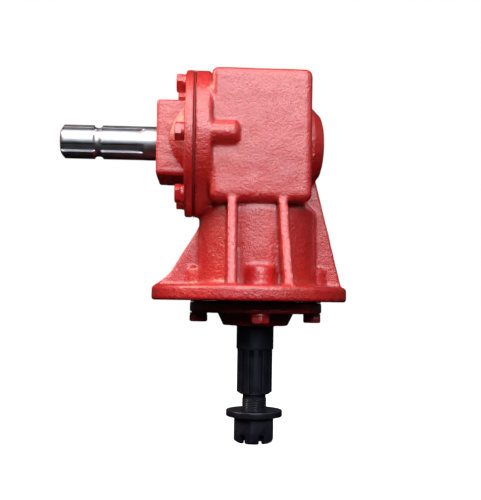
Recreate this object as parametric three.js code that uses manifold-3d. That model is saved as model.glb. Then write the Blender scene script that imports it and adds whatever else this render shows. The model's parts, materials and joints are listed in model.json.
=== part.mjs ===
// Right angle bevel gearbox of the kind that drives a rotary cutter.
// Millimetres, +Z up. The origin is where the output axis meets the underside of the deck flange.
// The input shaft points along -X, and the output shaft points down, along -Z.

import * as THREE from 'three';
import { mergeVertices } from 'three/addons/utils/BufferGeometryUtils.js';
import Module from 'manifold-3d';

const wasm = await Module();
wasm.setup();

// ---- Driving dimensions ----

const GAP = 0.3; // clearance between neighbouring pieces
const RIM_ROUND = 40; // facets of a wide rim
const ROUND = 28; // facets of other large rounds
const BEARING_ROUND = 24; // facets of a bearing's rings
const SMALL_ROUND = 14; // facets of a small round
const THREAD_ROUND = 8; // facets of a bolt shank or a tapped hole

const INPUT_HEIGHT = 161; // input axis above the deck face

// Deck flange and column
const DECK_R = 99.5;
const DECK_THICK = 15;
const DECK_CENTRE_X = -7.2;
const DECK_EDGE = 2.5; // rounding of the flange's rim
const DECK_HOLE_R = 6.75;
const DECK_HOLE_CIRCLE_R = 83;
const COLUMN_R = 60;
const COLUMN_BORE_R = 40.3;
const COLUMN_RELIEF_R = 46;
const COLUMN_SHOULDER_R = 35;
const COLUMN_TOP = 97.3; // face that the upper bearing cup rests on
const CAP_BOSS_R = 13.5;
const CAP_BOSS_TOP = 34;
const CAP_BOLT_CIRCLE_R = 58.3;

// Gear box
const BOX_FRONT_X = -50;
const BOX_REAR_X = 48.5;
const BOX_HALF_Y = 66.5;
const BOX_BOTTOM = 96;
const BOX_TOP = 226;
const BOX_EDGE = 7;
const WALL = 8.5;

// Ribs under the box, and gussets along the shaft plane
const RIB_THICK = 9;
const RIB_FRONT_X = -28;
const RIB_REAR_X = 22.7;
const RIB_LEAN = 0.055; // radians, of the rib nearer to the rear
const RIB_FOOT_Y = 90;
const GUSSET_THICK = 10;

// Input side: a ring on the box, a cap with a square pad, and six bolts
const RING_R = 75.5;
const RING_FACE_X = -65;
const OPENING_R = 55;
const INPUT_BOLT_CIRCLE_R = 64;
const INPUT_BOLTS = 6;
const INPUT_BOLT_START = 30; // degrees from the top
const LUG_R = 11.5;
const LUG_END_X = -23;
const CAP_FACE_X = -75;
const CAP_HUB_R = 50;
const PAD_FACE_X = -103.4;
const PAD_HALF = 38;

// Rear boss
const REAR_BOSS_R = 41.5;
const REAR_BOSS_END_X = 64.5;
const REAR_PLUG_R = 27;
const REAR_CUP_FACE_X = 54.8; // shoulder that the rear bearing cup rests on

// Output cap
const OUTPUT_CAP_R = 67.4;
const OUTPUT_CAP_BOTTOM = -12;
const OUTPUT_HUB_BOTTOM = -24.7;
const OUTPUT_BOLTS = 4;
const GASKET_THICK = 0.6;

// Bolts: M10 with spring washers
const BOLT_R = 4.7;
const BOLT_HOLE_R = 5.1;
const BOLT_HEAD_ACROSS = 16.6;
const BOLT_HEAD_HIGH = 6.4;
const WASHER_THICK = 2.4;
const WASHER_R = 9;

// Input shaft: 1-3/8 inch, six splines
const INPUT_TIP_X = -202;
const PTO_MAJOR_R = 17.45;
const PTO_MINOR_R = 14.8;
const PTO_TOOTH = 8.7;
const PTO_GROOVE_FROM_TIP = 38;
const PTO_SPLINE_END_X = -116;
const INPUT_JOURNAL_R = 20;
const INPUT_MIDDLE_R = 18;
const REAR_JOURNAL_R = 17.2;
const INPUT_SHAFT_END_X = 54.5;

// Output shaft: plain land, twelve splines, one inch thread
const OUTPUT_JOURNAL_R = 20;
const OUTPUT_LAND_R = 19;
const OUTPUT_SPLINE_TOP = -49;
const OUTPUT_SPLINE_BOTTOM = -94;
const OUTPUT_MAJOR_R = 18;
const OUTPUT_MINOR_R = 15.6;
const OUTPUT_TOOTH = 4.6;
const THREAD_R = 12.7;
const THREAD_END = -140.5;
const OUTPUT_WASHER_R = 28.5;
const OUTPUT_WASHER_TOP = -110;
const NUT_TOP = -116.5;
const NUT_BOTTOM = -142.5;
const NUT_ACROSS = 38.1;
const NUT_SLOT_WIDE = 5.5;
const NUT_SLOT_DEEP = 9;
const NUT_TURN = 20; // degrees from +X to a corner

// Bevel gears: 22 teeth on the input shaft drive a 15-tooth pinion
const MODULE = 4.5;
const GEAR_TEETH = 22;
const PINION_TEETH = 15;
const PRESSURE_ANGLE = THREE.MathUtils.degToRad(20);
const TOE_SCALE = 0.72; // size of a tooth's inner end against its outer end
const FLANK_RELIEF = 0.2; // taken off each flank, for backlash
const ROOT_CLEARANCE = 0.25; // of the module
const GEAR_BACK_X = -50.7;
const PINION_SEAT_R = 15;
const PINION_BACK_Z = 95.3;
const PINION_THREAD_R = 12.5;
const PINION_NUT_R = 19;
const PINION_NUT_HIGH = 7;
const PINION_WASHER_THICK = 1.7;
const PINION_KEY = { wide: 8, low: 11.2, high: 17.8, from: 98, to: 120 };
const GEAR_KEY = { wide: 12, low: 15.8, high: 23.2, from: -47, to: -31 };

// Bearings: bore and outside radii, and the mid-plane of each
const MAIN_BEARING = { bore: 20.3, outside: 40, cupBack: 10, cupFront: 6, coneFront: 8, coneBack: 10 };
const REAR_BEARING = { bore: 17.5, outside: 36, cupBack: 9, cupFront: 6, coneFront: 8, coneBack: 9 };
const ROLLER_SLOPE = 0.22;
const ROLLER_PLAY = 0.35;
const ROLLERS = 9;
const FRONT_BEARING_X = -61;
const REAR_BEARING_X = REAR_CUP_FACE_X - GAP - REAR_BEARING.cupBack;
const UPPER_BEARING_Z = 87;
const LOWER_BEARING_Z = 18;

// ---- Materials ----

const FINISHES = {
  paint: { color: 0xc9302c, roughness: 0.45, metalness: 0 },
  polished: { color: 0xb9bcc0, roughness: 0.25, metalness: 1 },
  black: { color: 0x16161a, roughness: 0.45, metalness: 0.7 },
  bearing: { color: 0x9a9da1, roughness: 0.3, metalness: 1 },
  gear: { color: 0x6a6d70, roughness: 0.4, metalness: 1 },
  rubber: { color: 0x1c1c1e, roughness: 0.8, metalness: 0 },
  paper: { color: 0x3c352c, roughness: 0.9, metalness: 0 },
};

function finish(name) {
  return new THREE.MeshStandardMaterial(FINISHES[name]);
}

// ---- Geometry helpers ----

const { degToRad } = THREE.MathUtils;

function moved(x, y, z) {
  return new THREE.Matrix4().makeTranslation(x, y, z);
}

// Stands a shape that was drawn about +Z along +X, at height z.
function alongX(z = 0) {
  return moved(0, 0, z).multiply(new THREE.Matrix4().makeRotationY(Math.PI / 2));
}

// Plates drawn flat and extruded: across X in the YZ plane, or across Y in the XZ plane.
function plateAcrossX(x) {
  const basis = new THREE.Matrix4().makeBasis(
    new THREE.Vector3(0, 1, 0),
    new THREE.Vector3(0, 0, 1),
    new THREE.Vector3(1, 0, 0),
  );
  return moved(x, 0, 0).multiply(basis);
}

function plateAcrossY(y) {
  const basis = new THREE.Matrix4().makeBasis(
    new THREE.Vector3(1, 0, 0),
    new THREE.Vector3(0, 0, 1),
    new THREE.Vector3(0, -1, 0),
  );
  return moved(0, y, 0).multiply(basis);
}

// A profile of [radius, height] pairs turned about +Z. It starts and ends on the axis, or closes.
function turned(profile, facets = ROUND) {
  const points = profile.map(([r, z]) => new THREE.Vector2(r, z));
  if (profile.every(([r]) => r > 0)) {
    points.push(points[0].clone());
  }
  if (THREE.ShapeUtils.area(points) < 0) {
    points.reverse();
  }
  return new THREE.LatheGeometry(points, facets).rotateX(Math.PI / 2);
}

function rod(radius, from, to, facets = ROUND) {
  return turned([[0, from], [radius, from], [radius, to], [0, to]], facets);
}

function tube(inner, outer, from, to, facets = ROUND) {
  return turned([[inner, from], [outer, from], [outer, to], [inner, to]], facets);
}

function outline(points) {
  return new THREE.Shape(points.map(([x, y]) => new THREE.Vector2(x, y)));
}

function extruded(shape, from, to, bevel = 0, curveSegments = 3) {
  const geometry = new THREE.ExtrudeGeometry(shape, {
    depth: to - from - 2 * bevel,
    bevelEnabled: bevel > 0,
    bevelThickness: bevel,
    bevelSize: bevel,
    bevelOffset: -bevel,
    bevelSegments: bevel > 2 ? 2 : 1,
    curveSegments,
  });
  return geometry.translate(0, 0, from + bevel);
}

function roundedRectangle(x0, x1, y0, y1, corner) {
  const shape = new THREE.Shape();
  shape.absarc(x1 - corner, y0 + corner, corner, -Math.PI / 2, 0);
  shape.absarc(x1 - corner, y1 - corner, corner, 0, Math.PI / 2);
  shape.absarc(x0 + corner, y1 - corner, corner, Math.PI / 2, Math.PI);
  shape.absarc(x0 + corner, y0 + corner, corner, Math.PI, 1.5 * Math.PI);
  return shape;
}

function block(x0, x1, y0, y1, z0, z1) {
  const box = new THREE.BoxGeometry(x1 - x0, y1 - y0, z1 - z0);
  return box.translate((x0 + x1) / 2, (y0 + y1) / 2, (z0 + z1) / 2);
}

// A closed solid from a geometry, placed by a matrix. Triangles that shrink to a line are dropped.
function solid(geometry, place = null) {
  const bare = geometry.clone();
  bare.deleteAttribute('normal');
  bare.deleteAttribute('uv');
  if (place) {
    bare.applyMatrix4(place);
  }
  const merged = mergeVertices(bare, 1e-4);
  const corners = [];
  for (let i = 0; i < merged.index.count; i += 3) {
    const [a, b, c] = [0, 1, 2].map((k) => merged.index.getX(i + k));
    if (a !== b && b !== c && c !== a) {
      corners.push(a, b, c);
    }
  }
  return new wasm.Manifold(new wasm.Mesh({
    numProp: 3,
    vertProperties: new Float32Array(merged.attributes.position.array),
    triVerts: new Uint32Array(corners),
  }));
}

function joined(solids) {
  return solids.reduce((whole, next) => whole.add(next));
}

function cut(body, cutters) {
  return cutters.reduce((left, next) => left.subtract(next), body);
}

function toGeometry(body) {
  const mesh = body.getMesh();
  const geometry = new THREE.BufferGeometry();
  geometry.setAttribute('position', new THREE.BufferAttribute(mesh.vertProperties, 3));
  geometry.setIndex(new THREE.BufferAttribute(mesh.triVerts, 1));
  geometry.computeVertexNormals();
  return geometry;
}

// Angles, in radians, of pieces spaced evenly on a circle.
function spaced(count, startDegrees = 0) {
  return Array.from({ length: count }, (_, i) => degToRad(startDegrees + (360 / count) * i));
}

// Places on the output bolt circle, and on the input bolt circle: the angle runs from the top to -Y.
function onOutputCircle(angle) {
  return [CAP_BOLT_CIRCLE_R * Math.cos(angle), CAP_BOLT_CIRCLE_R * Math.sin(angle)];
}

function onInputCircle(angle) {
  return [-INPUT_BOLT_CIRCLE_R * Math.sin(angle), INPUT_HEIGHT + INPUT_BOLT_CIRCLE_R * Math.cos(angle)];
}

const outputBoltAngles = spaced(OUTPUT_BOLTS);
const inputBoltAngles = spaced(INPUT_BOLTS, INPUT_BOLT_START);

// ---- The assembly ----

const gearbox = new THREE.Group();

// Pieces about the input axis are drawn about +Z, with z standing for world X.
const inputAxis = new THREE.Group();
inputAxis.position.set(0, 0, INPUT_HEIGHT);
inputAxis.rotation.y = Math.PI / 2;
gearbox.add(inputAxis);

function piece(parent, name, body, finishName) {
  const geometry = body.isBufferGeometry ? body : toGeometry(body);
  const mesh = new THREE.Mesh(geometry, finish(finishName));
  mesh.name = name;
  parent.add(mesh);
  return mesh;
}

// ---- Main housing ----

const ROOT = DECK_THICK - 1; // features on the deck start inside it

function deckFlange() {
  const profile = [
    [0, 0],
    [DECK_R - DECK_EDGE / 2, 0],
    [DECK_R, DECK_EDGE / 2],
    [DECK_R, DECK_THICK - DECK_EDGE],
    [DECK_R - DECK_EDGE, DECK_THICK],
    [0, DECK_THICK],
  ];
  return solid(turned(profile, RIM_ROUND), moved(DECK_CENTRE_X, 0, 0));
}

function column() {
  const flare = 5;
  const shoulder = 9;
  const profile = [
    [0, ROOT],
    [COLUMN_R + flare, ROOT],
    [COLUMN_R + 0.6, DECK_THICK + flare],
    [COLUMN_R - 0.6, BOX_BOTTOM - shoulder / 2],
    [COLUMN_R - shoulder, BOX_BOTTOM + shoulder / 2],
    [0, BOX_BOTTOM + shoulder / 2],
  ];
  return solid(turned(profile));
}

function capBosses() {
  const edge = 2;
  const profile = [
    [0, ROOT],
    [CAP_BOSS_R + 1, ROOT],
    [CAP_BOSS_R, CAP_BOSS_TOP - edge],
    [CAP_BOSS_R - edge, CAP_BOSS_TOP],
    [0, CAP_BOSS_TOP],
  ];
  return outputBoltAngles.map((angle) => {
    const [x, y] = onOutputCircle(angle);
    return solid(turned(profile, SMALL_ROUND), moved(x, y, 0));
  });
}

function box() {
  const plan = roundedRectangle(BOX_FRONT_X, BOX_REAR_X, -BOX_HALF_Y, BOX_HALF_Y, BOX_EDGE);
  return solid(extruded(plan, BOX_BOTTOM, BOX_TOP, BOX_EDGE - 1));
}

// A rib stands under the box's side, and slopes out to the deck. side is -1 in front, 1 behind.
function rib(x, lean, side) {
  const shape = outline([
    [side * 45, ROOT],
    [side * (RIB_FOOT_Y + 1.5), ROOT],
    [side * (RIB_FOOT_Y - 1.5), DECK_THICK + 4],
    [side * (BOX_HALF_Y - 0.6), BOX_BOTTOM + 4],
    [side * 45, BOX_BOTTOM + 4],
  ]);
  const plate = extruded(shape, -RIB_THICK / 2, RIB_THICK / 2);
  const middle = (DECK_THICK + BOX_BOTTOM) / 2;
  const tilt = moved(x, 0, middle)
    .multiply(new THREE.Matrix4().makeRotationY(-lean))
    .multiply(moved(0, 0, -middle));
  return solid(plate, tilt.multiply(plateAcrossX(0)));
}

function ribs() {
  return [-1, 1].flatMap((side) => [rib(RIB_FRONT_X, 0, side), rib(RIB_REAR_X, RIB_LEAN, side)]);
}

function gussets() {
  const front = outline([
    [-50, ROOT],
    [-105, ROOT],
    [-103, DECK_THICK + 1],
    [-98, DECK_THICK + 4],
    [-92, DECK_THICK + 9],
    [-87, DECK_THICK + 15],
    [-58, 78],
    [-50, 78],
  ]);
  const rear = outline([
    [45, ROOT],
    [89, ROOT],
    [87.6, DECK_THICK + 3],
    [61, 124],
    [45, 124],
  ]);
  return [front, rear].map((shape) => {
    const plate = extruded(shape, -GUSSET_THICK / 2, GUSSET_THICK / 2);
    return solid(plate, plateAcrossY(0));
  });
}

function inputRing() {
  const edge = 1.5;
  const profile = [
    [0, RING_FACE_X],
    [RING_R, RING_FACE_X],
    [RING_R, BOX_FRONT_X - edge],
    [RING_R - edge, BOX_FRONT_X + 1],
    [0, BOX_FRONT_X + 1],
  ];
  return solid(turned(profile, RIM_ROUND), alongX(INPUT_HEIGHT));
}

// Metal behind the two bolts that stand level with the input axis.
function lugs() {
  const round = 3.5;
  const profile = [
    [0, BOX_FRONT_X - 2],
    [LUG_R, BOX_FRONT_X - 2],
    [LUG_R, LUG_END_X - round],
    [LUG_R - round, LUG_END_X],
    [0, LUG_END_X],
  ];
  return [-1, 1].map((side) => {
    const place = moved(0, side * INPUT_BOLT_CIRCLE_R, 0).multiply(alongX(INPUT_HEIGHT));
    return solid(turned(profile, SMALL_ROUND), place);
  });
}

function rearBoss() {
  const chamfer = 10.5;
  const end = REAR_BOSS_END_X;
  const profile = [
    [0, BOX_REAR_X - 2],
    [REAR_BOSS_R, BOX_REAR_X - 2],
    [REAR_BOSS_R, end - chamfer],
    [REAR_BOSS_R - chamfer, end],
    [0, end],
  ];
  const boss = solid(turned(profile), alongX(INPUT_HEIGHT));
  // The lower front of the boss is a little proud, and ends in a ledge.
  const ledge = 15;
  const proud = tube(REAR_BOSS_R - 4, REAR_BOSS_R + 1.2, BOX_REAR_X - 2, end - chamfer);
  const below = block(BOX_REAR_X - 3, end, -60, 0, INPUT_HEIGHT - 60, INPUT_HEIGHT - ledge);
  return [boss, solid(proud, alongX(INPUT_HEIGHT)).intersect(solid(below))];
}

function housingBores() {
  const inside = roundedRectangle(
    BOX_FRONT_X + WALL,
    BOX_REAR_X - WALL,
    -BOX_HALF_Y + WALL,
    BOX_HALF_Y - WALL,
    BOX_EDGE,
  );
  const onAxis = alongX(INPUT_HEIGHT);
  return [
    solid(extruded(inside, BOX_BOTTOM + WALL, BOX_TOP - WALL, BOX_EDGE - 2, 2)),
    solid(rod(OPENING_R, RING_FACE_X - 1, BOX_FRONT_X + WALL + 1), onAxis),
    solid(rod(REAR_BEARING.outside + GAP, BOX_REAR_X - WALL - 1, REAR_CUP_FACE_X), onAxis),
    solid(rod(REAR_PLUG_R + GAP, REAR_CUP_FACE_X - 1, REAR_BOSS_END_X + 1), onAxis),
    solid(rod(COLUMN_BORE_R, -1, COLUMN_TOP)),
    solid(rod(COLUMN_RELIEF_R, 32, 72)),
    solid(rod(COLUMN_SHOULDER_R, COLUMN_TOP - 1, BOX_BOTTOM + WALL + 1)),
  ];
}

function tappedHoles() {
  const output = outputBoltAngles.map((angle) => {
    const [x, y] = onOutputCircle(angle);
    return solid(rod(BOLT_HOLE_R, -1, 22, THREAD_ROUND), moved(x, y, 0));
  });
  const input = inputBoltAngles.map((angle) => {
    const [y, z] = onInputCircle(angle);
    const hole = rod(BOLT_HOLE_R, RING_FACE_X - 1, RING_FACE_X + 16, THREAD_ROUND);
    return solid(hole, moved(0, y, 0).multiply(alongX(z)));
  });
  return [...output, ...input];
}

function deckHoles() {
  return spaced(4, 45).map((angle) => {
    const x = DECK_CENTRE_X + DECK_HOLE_CIRCLE_R * Math.cos(angle);
    const y = DECK_HOLE_CIRCLE_R * Math.sin(angle);
    return solid(rod(DECK_HOLE_R, -1, DECK_THICK + 1, SMALL_ROUND), moved(x, y, 0));
  });
}

// ---- Plugs: filler in the top, level and drain in the back wall ----

const PLUG_THREAD_R = 8;
const PLUG_COLLAR_R = 12.5;
const PLUG_HEAD_R = 10;

const plugPlaces = [
  { name: 'filler_plug', at: [0, 0, BOX_TOP], turn: [0, 0, 0], head: 8 },
  { name: 'level_plug', at: [14, BOX_HALF_Y, 150], turn: [-Math.PI / 2, 0, 0], head: 6 },
  { name: 'drain_plug', at: [-2, BOX_HALF_Y, 116], turn: [-Math.PI / 2, 0, 0], head: 6 },
];

function plugMatrix({ at, turn }) {
  return moved(...at).multiply(new THREE.Matrix4().makeRotationFromEuler(new THREE.Euler(...turn)));
}

function plugHoles() {
  return plugPlaces.map((plug) => (
    solid(rod(PLUG_THREAD_R + GAP, -WALL - 2, 2, SMALL_ROUND), plugMatrix(plug))
  ));
}

function plugBody(headHigh) {
  const collarTop = GAP + 3;
  const head = turned([
    [0, collarTop - 0.5],
    [PLUG_HEAD_R, collarTop - 0.5],
    [PLUG_HEAD_R, collarTop + headHigh - 1],
    [PLUG_HEAD_R - 1.2, collarTop + headHigh],
    [0, collarTop + headHigh],
  ], 6);
  const body = turned([
    [0, -WALL],
    [PLUG_THREAD_R - 1, -WALL],
    [PLUG_THREAD_R, -WALL + 1],
    [PLUG_THREAD_R, GAP],
    [PLUG_COLLAR_R, GAP],
    [PLUG_COLLAR_R, collarTop],
    [0, collarTop],
  ], SMALL_ROUND);
  return solid(head).add(solid(body));
}

function buildHousing() {
  const casting = joined([
    deckFlange(),
    column(),
    ...capBosses(),
    box(),
    ...ribs(),
    ...gussets(),
    inputRing(),
    ...lugs(),
    ...rearBoss(),
  ]);
  const cutters = [...housingBores(), ...tappedHoles(), ...deckHoles(), ...plugHoles()];
  piece(gearbox, 'main_housing', cut(casting, cutters), 'paint');

  for (const plug of plugPlaces) {
    const mesh = piece(gearbox, plug.name, plugBody(plug.head), 'paint');
    mesh.position.set(...plug.at);
    mesh.rotation.set(...plug.turn);
  }
}

function buildRearPlug() {
  const dome = 3;
  const profile = [
    [0, REAR_CUP_FACE_X + 3],
    [REAR_PLUG_R, REAR_CUP_FACE_X + 3],
    [REAR_PLUG_R, REAR_BOSS_END_X],
    [REAR_PLUG_R * 0.8, REAR_BOSS_END_X + dome * 0.5],
    [REAR_PLUG_R * 0.45, REAR_BOSS_END_X + dome * 0.87],
    [0, REAR_BOSS_END_X + dome],
  ];
  piece(inputAxis, 'rear_plug', turned(profile), 'paint');
}

// ---- Input cap ----

const INPUT_CAP_BACK_X = RING_FACE_X - GASKET_THICK - 2 * GAP;
const FRONT_CUP_FACE_X = FRONT_BEARING_X - MAIN_BEARING.cupBack - GAP;
const SEAL_R = 29;

// Drawn about +Z with z standing for world X, so the pad's sides are along local x and y.
function inputCapBody() {
  const spigotEnd = FRONT_BEARING_X + MAIN_BEARING.coneBack - 1;
  const flange = solid(turned([
    [0, CAP_FACE_X],
    [RING_R - 1.5, CAP_FACE_X],
    [RING_R, CAP_FACE_X + 1.5],
    [RING_R, INPUT_CAP_BACK_X],
    [0, INPUT_CAP_BACK_X],
  ], RIM_ROUND));
  const hub = solid(turned([
    [0, CAP_FACE_X - 17],
    [PAD_HALF - 1, CAP_FACE_X - 17],
    [CAP_HUB_R - 2, CAP_FACE_X - 2.5],
    [CAP_HUB_R + 1, CAP_FACE_X + 1],
    [0, CAP_FACE_X + 1],
  ]));
  const spigot = solid(rod(OPENING_R - GAP, INPUT_CAP_BACK_X - 1, spigotEnd));
  const plan = roundedRectangle(-PAD_HALF, PAD_HALF, -PAD_HALF, PAD_HALF, 4);
  const pad = solid(extruded(plan, PAD_FACE_X, CAP_FACE_X + 1, 1.5, 3));
  return joined([flange, hub, spigot, pad]);
}

function buildInputCap() {
  const padHoleInset = 9;
  const padHoles = spaced(4, 45).map((angle) => {
    const reach = (PAD_HALF - padHoleInset) * Math.SQRT2;
    const hole = rod(4, PAD_FACE_X - 1, PAD_FACE_X + 12, THREAD_ROUND);
    return solid(hole, moved(reach * Math.cos(angle), reach * Math.sin(angle), 0));
  });
  const boltHoles = inputBoltAngles.map((angle) => {
    const [y, z] = onInputCircle(angle);
    const hole = rod(BOLT_HOLE_R + 0.4, CAP_FACE_X - 1, INPUT_CAP_BACK_X + 1, THREAD_ROUND);
    return solid(hole, moved(INPUT_HEIGHT - z, y, 0));
  });
  const bores = [
    solid(rod(SEAL_R + GAP, PAD_FACE_X - 1, PAD_FACE_X + 13)),
    solid(rod(SEAL_R - 4, PAD_FACE_X + 12, FRONT_CUP_FACE_X)),
    solid(rod(MAIN_BEARING.outside + GAP, FRONT_CUP_FACE_X, RING_FACE_X + 20)),
  ];
  const cap = cut(inputCapBody(), [...bores, ...boltHoles, ...padHoles]);
  piece(inputAxis, 'input_cap', cap, 'paint');
}

// A flat gasket with bolt holes, drawn about +Z.
function gasket(inner, outer, from, boltPlaces) {
  const holes = boltPlaces.map(([x, y]) => (
    solid(rod(BOLT_HOLE_R + 0.4, from - 1, from + 2, THREAD_ROUND), moved(x, y, 0))
  ));
  return cut(solid(tube(inner, outer, from, from + GASKET_THICK)), holes);
}

function buildGaskets() {
  const inputPlaces = inputBoltAngles.map((angle) => {
    const [y, z] = onInputCircle(angle);
    return [INPUT_HEIGHT - z, y];
  });
  const inputGasket = gasket(OPENING_R + 1, RING_R - 1, INPUT_CAP_BACK_X + GAP, inputPlaces);
  piece(inputAxis, 'input_cap_gasket', inputGasket, 'paper');
  const outputPlaces = outputBoltAngles.map(onOutputCircle);
  const outputFrom = -GAP - GASKET_THICK;
  const outputGasket = gasket(COLUMN_BORE_R + 1, OUTPUT_CAP_R - 1, outputFrom, outputPlaces);
  piece(gearbox, 'output_cap_gasket', outputGasket, 'paper');
}

// ---- Output cap ----

const OUTPUT_CAP_TOP = -GASKET_THICK - 2 * GAP;

function buildOutputCap() {
  const cupFace = LOWER_BEARING_Z - MAIN_BEARING.cupBack - GAP;
  const plate = turned([
    [0, OUTPUT_HUB_BOTTOM],
    [33, OUTPUT_HUB_BOTTOM],
    [39, OUTPUT_CAP_BOTTOM],
    [OUTPUT_CAP_R - 1.5, OUTPUT_CAP_BOTTOM],
    [OUTPUT_CAP_R, OUTPUT_CAP_BOTTOM + 1.5],
    [OUTPUT_CAP_R, OUTPUT_CAP_TOP],
    [COLUMN_BORE_R - GAP, OUTPUT_CAP_TOP],
    [COLUMN_BORE_R - GAP, cupFace],
    [0, cupFace],
  ]);
  const boltHoles = outputBoltAngles.map((angle) => {
    const [x, y] = onOutputCircle(angle);
    const hole = rod(BOLT_HOLE_R + 0.4, OUTPUT_CAP_BOTTOM - 1, OUTPUT_CAP_TOP + 1, THREAD_ROUND);
    return solid(hole, moved(x, y, 0));
  });
  const bores = [
    solid(rod(SEAL_R + GAP, OUTPUT_HUB_BOTTOM - 1, OUTPUT_CAP_BOTTOM)),
    solid(rod(24, OUTPUT_CAP_BOTTOM - 1, OUTPUT_CAP_BOTTOM + 4)),
    solid(rod(34, OUTPUT_CAP_BOTTOM + 3.5, cupFace + 1)),
  ];
  piece(gearbox, 'output_cap', cut(solid(plate), [...bores, ...boltHoles]), 'paint');
}

// ---- Oil seals: a steel case in rubber, with a lip on the shaft ----

function sealRing(from, to) {
  const lip = OUTPUT_JOURNAL_R + GAP;
  return turned([
    [lip, from + 2],
    [lip + 2, from],
    [SEAL_R, from],
    [SEAL_R, to],
    [SEAL_R - 2.5, to],
    [SEAL_R - 3, from + 2.5],
    [lip + 2.5, from + 4],
  ]);
}

function buildSeals() {
  const inputSeal = sealRing(PAD_FACE_X + 2, PAD_FACE_X + 11);
  piece(inputAxis, 'input_oil_seal', inputSeal, 'rubber');
  const outputSeal = sealRing(OUTPUT_HUB_BOTTOM + 1.7, OUTPUT_CAP_BOTTOM - 1);
  piece(gearbox, 'output_oil_seal', outputSeal, 'rubber');
}

// ---- Bolts and spring washers: drawn with the shank along +Z, from the face that they clamp ----

function hexBolt(shankLength) {
  const seat = -WASHER_THICK - 2 * GAP;
  const corner = BOLT_HEAD_ACROSS / 2 / Math.cos(Math.PI / 6);
  const head = turned([
    [0, seat - BOLT_HEAD_HIGH],
    [corner - 1.3, seat - BOLT_HEAD_HIGH],
    [corner, seat - BOLT_HEAD_HIGH + 1],
    [corner, seat],
    [0, seat],
  ], 6);
  const shank = turned([
    [0, seat - 1],
    [BOLT_R, seat - 1],
    [BOLT_R, seat + shankLength - 1],
    [BOLT_R - 1, seat + shankLength],
    [0, seat + shankLength],
  ], THREAD_ROUND);
  return solid(head).add(solid(shank));
}

function springWasher() {
  const split = 0.12;
  const shape = new THREE.Shape();
  shape.absarc(0, 0, WASHER_R, split, 2 * Math.PI - split, false);
  shape.absarc(0, 0, BOLT_R + 0.5, 2 * Math.PI - split, split, true);
  return extruded(shape, -GAP - WASHER_THICK, -GAP, 0, 8);
}

function addBolt(parent, name, place, shankLength, turn) {
  const bolt = piece(parent, `${name}_bolt_${place.index + 1}`, hexBolt(shankLength), 'paint');
  const washer = piece(parent, `${name}_spring_washer_${place.index + 1}`, springWasher(), 'paint');
  for (const mesh of [bolt, washer]) {
    mesh.position.set(place.x, place.y, place.z);
    mesh.rotation.z = turn;
  }
}

function buildBolts() {
  const headTurn = degToRad(23);
  inputBoltAngles.forEach((angle, index) => {
    const [y, z] = onInputCircle(angle);
    const place = { index, x: INPUT_HEIGHT - z, y, z: CAP_FACE_X };
    addBolt(inputAxis, 'input_cap', place, 26, headTurn * index);
  });
  outputBoltAngles.forEach((angle, index) => {
    const [x, y] = onOutputCircle(angle);
    const place = { index, x, y, z: OUTPUT_CAP_BOTTOM };
    addBolt(gearbox, 'output_cap', place, 34, headTurn * index);
  });
}

// ---- Tapered roller bearings: drawn about +Z, with the large ends of the rollers up ----

function bearingRadii({ bore, outside }) {
  const mean = (bore + outside) / 2;
  return { mean, roller: (outside - bore) / 4 };
}

function bearingCup(size) {
  const { mean, roller } = bearingRadii(size);
  const race = (z) => mean + roller + GAP + ROLLER_PLAY + ROLLER_SLOPE * z;
  return turned([
    [race(-size.cupBack), -size.cupBack],
    [size.outside - 1, -size.cupBack],
    [size.outside, 1 - size.cupBack],
    [size.outside, size.cupFront],
    [race(size.cupFront), size.cupFront],
  ], BEARING_ROUND);
}

function bearingCone(size) {
  const { mean, roller } = bearingRadii(size);
  const race = (z) => mean - roller - GAP - ROLLER_PLAY + ROLLER_SLOPE * z;
  const lip = 7;
  return turned([
    [size.bore, -size.coneFront],
    [race(-size.coneFront), -size.coneFront],
    [race(lip), lip],
    [race(lip) + 1.8, lip],
    [race(lip) + 1.8, size.coneBack],
    [size.bore, size.coneBack],
  ], BEARING_ROUND);
}

// Rollers on a cone about the axis, held together by their cage.
function rollerSet(size) {
  const { mean, roller } = bearingRadii(size);
  const half = 5.8;
  const cageHalf = 4.4;
  const tilt = Math.atan(ROLLER_SLOPE);
  const cage = solid(turned([
    [mean - ROLLER_SLOPE * cageHalf - 0.7, -cageHalf],
    [mean - ROLLER_SLOPE * cageHalf + 0.7, -cageHalf],
    [mean + ROLLER_SLOPE * cageHalf + 0.7, cageHalf],
    [mean + ROLLER_SLOPE * cageHalf - 0.7, cageHalf],
  ], ROLLERS));
  const one = new THREE.CylinderGeometry(roller, roller - 0.15, 2 * half, 6).rotateX(Math.PI / 2);
  const rollers = spaced(ROLLERS).map((angle) => {
    const place = new THREE.Matrix4().makeRotationZ(angle)
      .multiply(moved(mean, 0, 0))
      .multiply(new THREE.Matrix4().makeRotationY(tilt));
    return solid(one, place);
  });
  return joined([cage, ...rollers]);
}

function addBearing(parent, name, size, at, largeEndUp) {
  const parts = {
    cup: [bearingCup(size), 'bearing'],
    cone: [bearingCone(size), 'bearing'],
    rollers: [rollerSet(size), 'bearing'],
  };
  for (const [part, [body, finishName]] of Object.entries(parts)) {
    const mesh = piece(parent, `${name}_bearing_${part}`, body, finishName);
    mesh.position.z = at;
    mesh.rotation.x = largeEndUp ? 0 : Math.PI;
  }
}

function buildBearings() {
  addBearing(inputAxis, 'input_front', MAIN_BEARING, FRONT_BEARING_X, true);
  addBearing(inputAxis, 'input_rear', REAR_BEARING, REAR_BEARING_X, false);
  addBearing(gearbox, 'output_upper', MAIN_BEARING, UPPER_BEARING_Z, false);
  addBearing(gearbox, 'output_lower', MAIN_BEARING, LOWER_BEARING_Z, true);
}

// ---- Splines ----

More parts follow.
